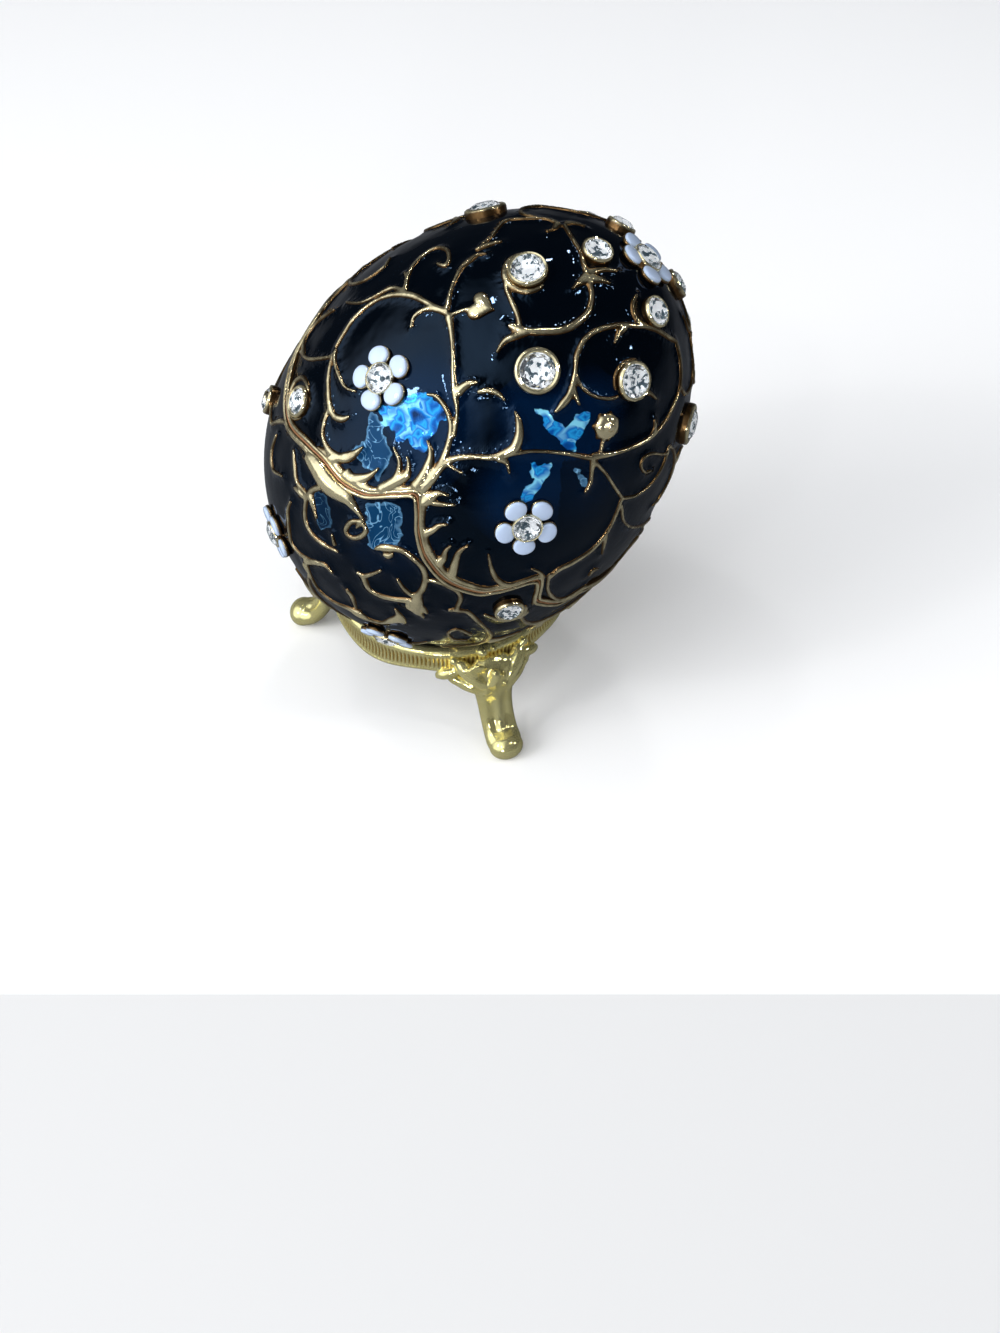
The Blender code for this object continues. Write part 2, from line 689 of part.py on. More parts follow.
def build():
    clear_scene()
    materials = {
        "enamel": make_material("navy_enamel", (0.01, 0.02, 0.07), 0.08, 0.3),
        "gilt": make_material("antique_gilt", (0.62, 0.47, 0.24), 0.28, 1.0),
        "bright_gold": make_material("bright_gold", (0.86, 0.70, 0.20), 0.16, 1.0),
        "crystal": make_material("crystal", (0.95, 0.97, 1.0), 0.0, 0.0, 1.0),
        "steel": make_material("steel", (0.55, 0.56, 0.58), 0.3, 1.0),
    }
    lean = (0, math.radians(EGG_LEAN), 0)
    seat = make_pivot("egg_seat", EGG_CENTRE, lean, None, (0, 0, 0))
    spin = (0, 0, math.radians(EGG_SPIN))
    base = make_pivot("egg_middle", (0, 0, 0), spin, seat, (0, 0, 0))
    lid = make_pivot("lid_hinge_axis", HINGE_POINT, (0, 0, 0), base, HINGE_POINT)
    pivots = {"base": base, "lid": lid}
    spots = stone_spots()
    for name, side, rows in (("lid", 1, LID_ROWS), ("base", -1, BASE_ROWS)):
        own = [spot for spot in spots if spot[4] == name]
        make_shell(f"{name}_shell", side, rows, own, materials, pivots[name])
        make_magnet(f"{name}_magnet", side, materials["steel"], pivots[name])
    meshes = {}
    for name, azimuth, polar, stone, shell, _ in spots:
        frame = skin_frame(azimuth, height_at(polar))
        make_stone(name, frame, stone, materials["crystal"], pivots[shell], meshes)
    make_hinge(materials, base, lid)
    make_stand(materials["bright_gold"])


build()
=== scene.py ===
"""Looks of the jeweled egg trinket box: enamel, gilt scrollwork, petals, stones and stand."""

import math

import bmesh
import bpy
import numpy
from mathutils import Matrix, Vector, kdtree


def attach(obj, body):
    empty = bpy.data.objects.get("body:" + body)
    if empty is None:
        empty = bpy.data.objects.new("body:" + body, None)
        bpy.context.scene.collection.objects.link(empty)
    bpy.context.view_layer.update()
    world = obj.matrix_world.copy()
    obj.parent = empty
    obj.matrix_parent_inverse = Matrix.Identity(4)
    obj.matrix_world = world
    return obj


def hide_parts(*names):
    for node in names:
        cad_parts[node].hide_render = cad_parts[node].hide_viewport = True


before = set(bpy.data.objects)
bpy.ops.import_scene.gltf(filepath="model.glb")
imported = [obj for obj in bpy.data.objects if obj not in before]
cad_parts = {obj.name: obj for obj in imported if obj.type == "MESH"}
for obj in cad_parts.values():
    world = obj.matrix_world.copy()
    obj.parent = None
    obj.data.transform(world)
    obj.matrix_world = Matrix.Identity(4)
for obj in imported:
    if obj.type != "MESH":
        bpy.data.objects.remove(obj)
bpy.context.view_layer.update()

MM = 0.001

# Egg: its outer skin and its pose in the stand
EGG_WIDTH = 49.4 * MM
EGG_HEIGHT = 63.2 * MM
EGG_TAPER = 0.09
EGG_WALL = 1.3 * MM
EGG_LEAN = 37.7
EGG_SPIN = -26.5
EGG_MIDDLE = Vector((0.0013, -0.0010, 0.04059))

# Seam: degrees round the egg and polar degrees from its top, repeated at the back, and level
# where the hinge sits
SEAM_WAVE = (
    (-78, 88.3), (-60, 98.5), (-44, 102.0), (-31, 98.3), (-24, 96.4), (-18, 95.8),
    (-10, 92.8), (-4, 87.0), (0, 83.8), (3, 85.8), (7, 89.6), (14, 93.8), (23, 95.8),
    (32, 94.6), (37, 91.4), (44.5, 86.0), (52, 92.6), (62, 93.4), (68, 89.5),
)
SEAM_REPEAT = 180
SEAM_GAP = 0.4 * MM
HINGE_AZIMUTH = 180
HINGE_POLAR = 95.5
HINGE_LEVEL = 15
HINGE_BLEND = 12
# Polar degrees that one metre takes up near the seam
SEAM_DEGREES = math.degrees(2 / EGG_HEIGHT)

# Gold rims along the seam, and the copper lip that shows between them
RIM_WIDTH = 0.6 * MM
RIM_RISE = 0.5 * MM
RIM_SPACE = 0.30 * MM
LIP_WIDTH = 0.24 * MM
LIP_RISE = 0.3 * MM
LIP_SHIFT = 0.06 * MM

# Stones: kind, degrees round the egg, polar degrees, diameter, bezel, shell, flower turn
STONES = (
    ("top_crystal", (0,), 0, 3.4 * MM, 0.22 * MM, "lid", 20),
    ("base_side_crystal", (-64,), 112, 3.0 * MM, 0.35 * MM, "base", None),
    ("crown_crystal", (-40, 44, 140, -136), 17.5, 3.0 * MM, 0.3 * MM, "lid", None),
    ("shoulder_crystal", (-37, 37, 143, -143), 36.5, 3.6 * MM, 0.4 * MM, "lid", None),
    ("ring_crystal", (0, 94, 180, -94), 48, 3.8 * MM, 0.6 * MM, "lid", None),
    ("flower_crystal", (-30, 29, 150, -151), 74.8, 3.2 * MM, 0.2 * MM, "lid", 12),
    ("lid_edge_crystal", (-44, 136), 96.2, 3.0 * MM, 0.4 * MM, "lid", None),
    ("base_edge_crystal", (45, -135), 96.8, 3.0 * MM, 0.4 * MM, "base", None),
    ("base_flower_crystal", (-30, 32), 134, 3.2 * MM, 0.2 * MM, "base", 12),
    ("base_flower_crystal", (150, -148), 142, 3.2 * MM, 0.2 * MM, "base", 12),
)
CUP_RISE = 0.8 * MM
CUP_ROOT = 0.5 * MM
CUP_SLACK = 0.05 * MM
CUP_STEPS = 32
STONE_DEPTH = 1.4 * MM
STONE_CROWN = 0.5 * MM
STONE_GIRDLE = 0.1 * MM
PETALS = 5
PETAL_REACH = 2.6 * MM
PETAL_SIZE = Vector((1.12, 1.3, 0.38)) * MM
PETAL_LIFT = 0.4 * MM
PETAL_FULLNESS = 0.6
PETAL_STEPS = 28
PETAL_RIM = 0.075
PETAL_RIM_TALL = 3 * MM
PETAL_RIM_LIFT = 0.08 * MM

# Heart leaf: degrees round, polar degrees, turn, size and rise
HEART = (-31.4, 49.4, 131, 1.6 * MM, 0.6 * MM)
# Knob: degrees round, polar degrees, radius, rise at its side and at its top
KNOB = (33.9, 48.2, 1.5 * MM, 0.9 * MM, 1.5 * MM)
KNOB_CAP = 0.45
KNOB_BEADS = 7
KNOB_BEAD = 0.3 * MM
KNOB_BEAD_RISE = 0.55 * MM
# Dome, from its root to its top: share of its outline and of its height
DOME_PROFILE = ((1.0, -0.3), (1.0, 0.25), (0.9, 0.6), (0.65, 0.88), (0.3, 1.0))
DOME_CORNERS = 20
HEART_CORNERS = 32

# Gold swirls round single stones: shell, place, reach across and up, first and last angle, half width
SWIRLS = (
    ("lid", -37, 36.5, 2.5, 2.5, 165, 380, 0.42),
    ("lid", -46, 96.8, 2.7, 2.2, 0, 352, 0.36),
    ("base", 46, 98, 2.4, 2.1, -130, 60, 0.34),
    ("lid", 37, 36.5, 2.4, 2.4, 100, 230, 0.22),
)
SWIRL_STEPS = 8
SWIRL_TIP = 0.45

# Crumpled foil under the enamel: brightness of the painted reflection of light in each patch's folds, and
# the patch's outline
FOIL_PATCHES = (
    (0.85, ((-25, 78.5), (-22.5, 75.5), (-22, 73), (-19, 69), (-16, 67.5), (-10.5, 67), (-8.5, 68.5),
        (-9, 72), (-7, 76), (-8.5, 77.5), (-12.5, 77), (-14, 79.5), (-16, 78.5), (-19.5, 79.5))),
    (1.2, ((8.5, 54), (12, 55), (20, 56), (25.5, 57), (28, 56.5), (26.5, 54), (27.5, 51),
        (25.5, 47.5), (21.5, 49.5), (20, 53), (11, 52.5))),
    (1.5, ((18, 63), (24, 61), (25, 65), (25, 69.5), (23.5, 71.5), (21.5, 70), (21.5, 66))),
    (0.3, ((-8.5, 95), (-6, 92), (-1, 88), (1, 91), (4.5, 93), (6, 97.5), (4.5, 99), (1, 102),
        (-2.5, 100), (-5, 96.5))),
    (0.35, ((29.5, 59), (32.5, 58.5), (38.5, 60.5), (38.5, 62))),
    (0.28, ((-25, 80), (-20, 80.5), (-16, 81), (-12.5, 82), (-10.5, 85.5), (-10.5, 88), (-14, 88.5),
        (-17.5, 89.5), (-20.5, 88.5), (-21, 84.5), (-24, 82))),
    (0.1, ((-22, 102.5), (-17, 102), (-13, 104), (-10, 107), (-13, 110), (-18, 108), (-21, 105.5))),
)
FOIL_REACH = 8 * MM

# Enamel that climbs the gold at its shores
MENISCUS_RISE = 0.17 * MM
MENISCUS_REACH = 0.4 * MM

# Magnet lugs inside the front
LUG_RADIUS = 2.4 * MM
LUG_INSET = 3.6 * MM
LUG_HEIGHT = 2.7 * MM
LUG_POCKET = 1.8 * MM
LUG_STEPS = 40

# Stand, in millimetres off its middle: ring, lip under the egg, ribbed band with a rolled edge
STAND_MIDDLE = Vector((-3.4, -1.0, -0.6)) * MM
RING_RADIUS = 16.4
RING_BEAD = 0.9
RING_TOP = 16.1
REST_RADIUS = 13.4
REST_HEIGHTS = (14.9, 14.2)
BAND_INSIDE = 15.8
BAND_CEILING = 14.5
BAND_LOW = 12.8
BAND_WAVE = 0.6
BAND_WIDEST = 17.25
BAND_HOLLOW = 0.3
BAND_FOOT = 0.6
BAND_INNER_FOOT = 0.4
BAND_WAVES = 6
BAND_STEPS = 10
BAND_RIBS = 180
RIB_RISE = 0.2
RIB_FULLNESS = 0.7
RIB_COLUMNS = 6
EDGE_RADIUS = 17.0
EDGE_BEAD = 0.42
EDGE_RISE = 0.2
LEG_AZIMUTHS = (21, 141, 261)
LEG_SIDES = 48
LEG_STEPS = 6
FLUTE_SPAN = 0.7
# Radius, height, half width, half depth and flute of a leg from the ring to the toe
LEG_STATIONS = (
    (17.3, 15.3, 2.0, 0.8, 0.0), (17.9, 14.1, 3.3, 1.4, 0.0), (18.3, 12.2, 3.4, 1.7, 0.0),
    (18.5, 9.9, 2.9, 1.6, 0.0), (19.0, 7.5, 2.6, 1.4, 0.35), (19.9, 5.1, 2.5, 1.35, 0.42),
    (21.3, 3.2, 2.5, 1.5, 0.3), (22.8, 2.4, 2.55, 1.75, 0.0), (24.0, 2.2, 2.2, 1.6, 0.0),
)
TOE = Vector((2.5, 2.1, 2.0))
TOE_RADIUS = 23.6
TOE_HEIGHT = 2.2
# Leaf lobes beside a knee, as degrees from the leg, height and half width: they lie at
# LEAF_RADIUS on the band, and LEAF_CLIMB further out on the leg
KNEE_LEAVES = (
    ((3.5, 11.4, 0.5), (7, 12.7, 1.0), (11, 13.9, 1.15), (14.5, 14.9, 0.95), (16.5, 15.2, 0.5)),
    ((14, 14.0, 0.5), (18, 13.5, 0.85), (22, 13.0, 0.85), (25.5, 12.5, 0.4)),
    ((4, 9.9, 0.5), (8, 10.8, 0.8), (12.5, 11.4, 1.0), (17, 12.0, 0.9), (19.5, 12.5, 0.5)),
)
LEAF_RADIUS = 17.5
LEAF_CLIMB = 2.9
LEAF_SPREAD = 16
# Ridge down the middle of a knee, in the same form
KNEE_RIDGE_RADIUS = 20.0
KNEE_RIDGE = ((-1.5, 15.2, 0.35), (-0.5, 14.2, 0.75), (-1.5, 12.8, 0.7), (-1, 11.6, 0.4))
# Beads on and beside a knee: degrees from the leg, height, radius and size
KNEE_BEADS = (
    (-4, 16.7, 17.4, 0.8), (2, 16.6, 17.3, 0.5), (-17, 15.8, 17.6, 0.6), (17, 15.8, 17.6, 0.6),
    (-3, 12.5, 20.1, 0.4), (-4.5, 10.9, 20.0, 0.45), (3, 13.6, 20.0, 0.4), (3.5, 11.9, 20.1, 0.4),
)
# Folds beside the ridge: degrees from the leg and height of both ends
KNEE_FOLDS = ((-10, 16.0, -5, 14.3), (-8.5, 16.3, -4, 15.1), (-11.5, 15.6, -6.5, 13.5))
FOLD_RADIUS = 19.2
FOLD_WIDTHS = (0.25, 0.35, 0.2)
KNEE_STEPS = 5
KNEE_SIDES = 12
KNEE_FLATNESS = 1.1

# Vines, leaves and curls of the lid: degrees round, polar degrees and half width in mm
LID_SCROLLS = {
    "stem": ((-35, 56, 0.5), (-28, 57.5, 0.3), (-22, 59.5, 0.25), (-17.5, 61.5, 0.3),
        (-13, 63.5, 0.35), (-9.5, 65, 0.25), (-7, 66.5, 0.15), (-3.5, 69.5, 0.15)),
    "stem_leaf_up": ((-12, 63.5, 0.3), (-12.5, 62, 0.35), (-12, 60, 0.35), (-10.5, 58.5, 0.15)),
    "stem_leaf_down": ((-8.5, 60, 0.15), (-6.5, 58, 0.25), (-3.5, 57, 0.25), (-0.5, 57, 0.1)),
    "left_branch": ((-35, 56, 0.4), (-39, 58, 0.4), (-41, 60.5, 0.3), (-40.5, 63, 0.25),
        (-37.5, 64.5, 0.15)),
    "heart_stem": ((-34, 56, 0.25), (-33.5, 53.5, 0.2), (-32.5, 51.5, 0.25)),
    "up_vine": ((-36.5, 56, 0.4), (-42, 54, 0.25), (-46.5, 52, 0.25), (-50.5, 50, 0.35),
        (-52.5, 48, 0.4), (-54, 46, 0.25), (-53, 44, 0.1)),
    "up_leaf": ((-57, 46.5, 0.15), (-58, 44.5, 0.3), (-58.5, 42, 0.25), (-58.5, 40, 0.1)),
    "top_arc": ((-59.5, 45, 0.15), (-63.5, 42.5, 0.2), (-70, 41, 0.2), (-76, 39.5, 0.25),
        (-77, 35.5, 0.2), (-78, 30, 0.2), (-73.5, 26.5, 0.3)),
    "top_leaf_a": ((-73.5, 26.5, 0.3), (-66, 27.5, 0.25), (-62.5, 29.5, 0.1)),
    "top_leaf_b": ((-74.5, 25, 0.25), (-78, 22.5, 0.25), (-78, 19.5, 0.1)),
    "shoulder_right_up": ((-73, 25, 0.25), (-57, 23, 0.25), (-42, 22, 0.25), (-28, 23, 0.3),
        (-19.5, 24, 0.4)),
    "shoulder_leaf_a": ((-20, 23.5, 0.4), (-19.5, 26.5, 0.35), (-18, 29.5, 0.1)),
    "shoulder_leaf_b": ((-19, 23.5, 0.35), (-13.5, 21, 0.3), (-7, 19.5, 0.1)),
    "shoulder_leaf_c": ((-23, 23, 0.3), (-21, 18.5, 0.25), (-13.5, 14.5, 0.15)),
    "shoulder_sweep": ((-18.5, 24, 0.4), (-9, 26, 0.3), (-3, 29.5, 0.35), (-2.5, 34, 0.4),
        (-4.5, 37.5, 0.4), (-9, 41, 0.4), (-13.5, 44, 0.4), (-19.5, 46.5, 0.4)),
    "shoulder_tail": ((-12, 43, 0.25), (-14.5, 46.5, 0.4), (-15.5, 49, 0.35), (-14, 52, 0.1)),
    "shoulder_inner": ((-16.5, 44.5, 0.25), (-21.5, 43.5, 0.3), (-27.5, 43, 0.3), (-34.5, 42.5, 0.25),
        (-40.5, 40.5, 0.25), (-43.5, 38.5, 0.25)),
    "left_arc": ((-35.5, 56, 0.25), (-42, 59, 0.3), (-48.5, 62, 0.4), (-52.5, 65.5, 0.35),
        (-54.5, 69, 0.25), (-55, 73, 0.25), (-54, 76.5, 0.3), (-51.5, 79.5, 0.3), (-49, 82.5, 0.3)),
    "left_arc_outer": ((-50.5, 63, 0.3), (-56, 66, 0.25), (-57, 70.5, 0.2), (-58.5, 74.5, 0.15),
        (-64, 79, 0.1)),
    "curl": ((-51, 63.5, 0.35), (-56.5, 62.5, 0.25), (-61.5, 61, 0.25), (-65, 58.5, 0.25),
        (-66.5, 55.5, 0.25), (-63, 53, 0.25), (-57.5, 52.5, 0.25), (-54.5, 53.5, 0.3),
        (-57.5, 55.5, 0.15)),
    "curl_bud": ((-60.5, 63, 0.15), (-56.5, 62.5, 0.25)),
    "hook_inner": ((-48.5, 82.5, 0.25), (-45, 83.5, 0.25), (-40, 83.5, 0.25), (-35.5, 83, 0.2),
        (-32, 81, 0.15)),
    "hook_outer": ((-48, 83.5, 0.25), (-43, 86, 0.3), (-38.5, 87.5, 0.35), (-35, 88.5, 0.4),
        (-31.5, 88.5, 0.4), (-29, 87, 0.4), (-28, 85, 0.15)),
    "hook_band": ((-35, 88, 0.25), (-32.5, 91.5, 0.3), (-30, 93.5, 0.3), (-26, 94, 0.4),
        (-22.5, 93, 0.5), (-19.5, 90.5, 0.4), (-19, 86.5, 0.15)),
    "west_line": ((-47, 83.5, 0.25), (-50, 87, 0.25), (-55, 91.5, 0.25), (-62.5, 95, 0.2)),
    "west_leaf": ((-57.5, 93, 0.25), (-65, 93.5, 0.25), (-68, 90.5, 0.25), (-67, 86, 0.3),
        (-65, 82.5, 0.1)),
    "flower_ring_east": ((-18, 68.5, 0.15), (-15.5, 67, 0.25), (-11, 67, 0.3), (-6.5, 68.5, 0.3),
        (-3, 72, 0.35), (-1, 76, 0.4), (-1, 79.5, 0.45)),
    "swirl_sweep": ((36.5, 22.5, 0.2), (19.5, 25.5, 0.3), (9.5, 30, 0.3), (5.5, 34.5, 0.3),
        (7, 39, 0.3), (10.5, 42, 0.25), (13, 44.5, 0.35), (14.5, 47, 0.4), (14.5, 49.5, 0.4),
        (14, 52, 0.1)),
    "swirl_leaf": ((14, 45.5, 0.25), (17, 46.5, 0.25), (20, 47.5, 0.1)),
    "swirl_under": ((11, 42.5, 0.25), (16.5, 44, 0.2), (23, 44, 0.2), (30, 42.5, 0.2), (33, 41, 0.2)),
    "swirl_east_leaf": ((44.5, 38, 0.25), (49, 37.5, 0.25), (55, 38.5, 0.1)),
    "crown_around": ((18.5, 15.5, 0.2), (18, 19, 0.25), (24, 22, 0.25), (33.5, 22.5, 0.3),
        (49.5, 22, 0.3), (71.5, 24, 0.3)),
    "swirl_leaf_b": ((20, 25.5, 0.3), (18.5, 28.5, 0.3), (19, 31.5, 0.1)),
    "east_arc": ((71.5, 24, 0.3), (75.5, 29.5, 0.25), (75, 35.5, 0.25), (70, 39.5, 0.25),
        (64.5, 43.5, 0.25), (57, 47.5, 0.25), (48.5, 50.5, 0.25), (41, 53, 0.25), (34, 55, 0.3)),
    "east_spur": ((56.5, 43, 0.1), (59.5, 46, 0.2)),
    "knob_stem": ((34.5, 50, 0.25), (36.5, 53.5, 0.2)),
    "flower_ring_south": ((-29, 97, 0.3), (-23.5, 97, 0.4), (-18.5, 96.5, 0.5), (-13, 94, 0.55),
        (-8, 90.5, 0.4), (-3, 86.5, 0.35), (0, 83.5, 0.4)),
    "flower_ring_leaf_a": ((-18, 95, 0.5), (-15, 93, 0.5), (-12.5, 89.5, 0.4), (-12, 86, 0.1)),
    "flower_ring_leaf_b": ((-24, 95.5, 0.45), (-22, 93, 0.4), (-20, 89.5, 0.35), (-19, 86, 0.1)),
    "flower_ring_leaf_c": ((-8, 90, 0.35), (-6.5, 85.5, 0.4), (-5.5, 82.5, 0.4), (-7, 80.5, 0.25),
        (-9, 79.5, 0.1)),
    "flower_ring_leaf_d": ((-6.5, 86.5, 0.25), (-7.5, 83.5, 0.3), (-9.5, 81.5, 0.25), (-13.5, 80.5, 0.1)),
    "flower_ring_leaf_e": ((-1.5, 84, 0.4), (-2, 80.5, 0.4), (-3.5, 77, 0.4), (-5.5, 75, 0.3),
        (-8.5, 74, 0.1)),
    "vine": ((0, 83.5, 0.5), (0, 79.5, 0.5), (-0.5, 75.5, 0.4), (0.5, 72.5, 0.35), (4, 69.5, 0.3),
        (8, 67, 0.35), (10, 64.5, 0.4), (11, 62.5, 0.5), (9.5, 60, 0.45), (6.5, 58, 0.35),
        (3.5, 57, 0.1)),
    "vine_curl": ((0, 74.5, 0.2), (2.5, 74, 0.2), (5, 73.5, 0.1)),
    "vine_leaf": ((9, 66.5, 0.3), (12, 66, 0.25), (15, 67.5, 0.1)),
    "vine_east": ((10, 65.5, 0.25), (15, 61.5, 0.2), (20.5, 59, 0.2), (27, 57, 0.25),
        (35, 55.5, 0.35)),
    "east_branch": ((35, 55.5, 0.25), (43, 52.5, 0.25), (51, 49.5, 0.25), (57, 47, 0.2),
        (58.5, 44, 0.1)),
    "fork_down": ((35, 55.5, 0.35), (37.5, 58.5, 0.25), (39, 60.5, 0.25), (39, 63, 0.1)),
    "fork_middle": ((36.5, 56, 0.25), (43, 57.5, 0.2), (50, 60, 0.2), (55.5, 62, 0.25)),
    "fork_end_right": ((55, 62, 0.25), (62.5, 61, 0.2), (69.5, 58, 0.2), (73, 54, 0.2), (73, 49.5, 0.15)),
    "right_curl": ((74.5, 51.5, 0.15), (70.5, 51.5, 0.15), (62, 51, 0.2), (57.5, 52, 0.2),
        (57.5, 54, 0.2), (61.5, 55.5, 0.15), (65, 55, 0.1)),
    "fork_end_down": ((55, 62, 0.25), (56.5, 66.5, 0.25), (57, 71, 0.3), (55.5, 75.5, 0.35),
        (51.5, 79.5, 0.4), (48.5, 82, 0.4), (47.5, 85, 0.35)),
    "fork_end_loop": ((56.5, 63.5, 0.2), (62, 67.5, 0.2), (69.5, 70, 0.15), (79.5, 71.5, 0.15),
        (89.5, 72.5, 0.1)),
    "fork_end_leaf": ((57.5, 71.5, 0.25), (59.5, 74, 0.25), (62, 77, 0.1)),
    "garland": ((0, 83.5, 0.4), (3, 85, 0.4), (5.5, 87.5, 0.3), (9, 90, 0.35),
        (12.5, 92.5, 0.4), (17.5, 94.5, 0.4), (22.5, 95, 0.4), (27, 94.5, 0.4), (32.5, 93, 0.35),
        (37.5, 90, 0.3), (41.5, 88, 0.25), (46, 86, 0.25)),
    "garland_leaf_a": ((3, 85, 0.35), (3, 82, 0.4), (4, 80, 0.3), (6.5, 79, 0.1)),
    "garland_leaf_b": ((4, 83, 0.2), (6.5, 81.5, 0.25), (9.5, 79.5, 0.1)),
    "garland_leaf_c": ((8.5, 89.5, 0.3), (9.5, 87.5, 0.3), (10, 85.5, 0.25), (11.5, 84, 0.1)),
    "garland_leaf_d": ((17, 94.5, 0.35), (17, 91.5, 0.35), (16, 89.5, 0.25), (16, 87.5, 0.1)),
    "garland_leaf_e": ((23, 95, 0.35), (20.5, 91, 0.35), (19, 88, 0.3), (19.5, 85, 0.1)),
    "garland_leaf_f": ((38, 90, 0.25), (33.5, 89.5, 0.3), (29.5, 87.5, 0.25), (25.5, 84.5, 0.1)),
    "garland_leaf_g": ((46, 85.5, 0.2), (43.5, 84, 0.2), (39.5, 83.5, 0.1)),
    "patch_west": ((46.5, 83.5, 0.3), (50, 87.5, 0.25), (55, 90.5, 0.3), (62.5, 92.5, 0.3),
        (66.5, 90.5, 0.3), (67.5, 87.5, 0.25)),
    "patch_bud": ((64, 84, 0.25), (64, 82, 0.35), (66.5, 82, 0.15)),
    "side_vine": ((73, 49.5, 0.2), (80, 52, 0.25), (86, 56, 0.3), (88, 61, 0.3), (84, 65, 0.25),
        (79, 66, 0.2)),
    "side_leaf_a": ((86, 56, 0.3), (91, 54, 0.3), (96, 54.5, 0.1)),
    "side_low": ((79.5, 71.5, 0.15), (86, 75, 0.25), (92, 79, 0.3), (99, 81, 0.3), (106, 79, 0.25),
        (111, 74, 0.2), (110, 69, 0.2), (105, 68, 0.15)),
    "side_leaf_b": ((92, 79, 0.3), (90, 84, 0.3), (86, 87, 0.1)),
    "side_leaf_c": ((99, 81, 0.3), (102, 85, 0.3), (107, 88, 0.1)),
    "side_top": ((75, 35.5, 0.2), (82, 38, 0.25), (90, 38, 0.25), (97, 36, 0.2), (101, 32, 0.1)),
}
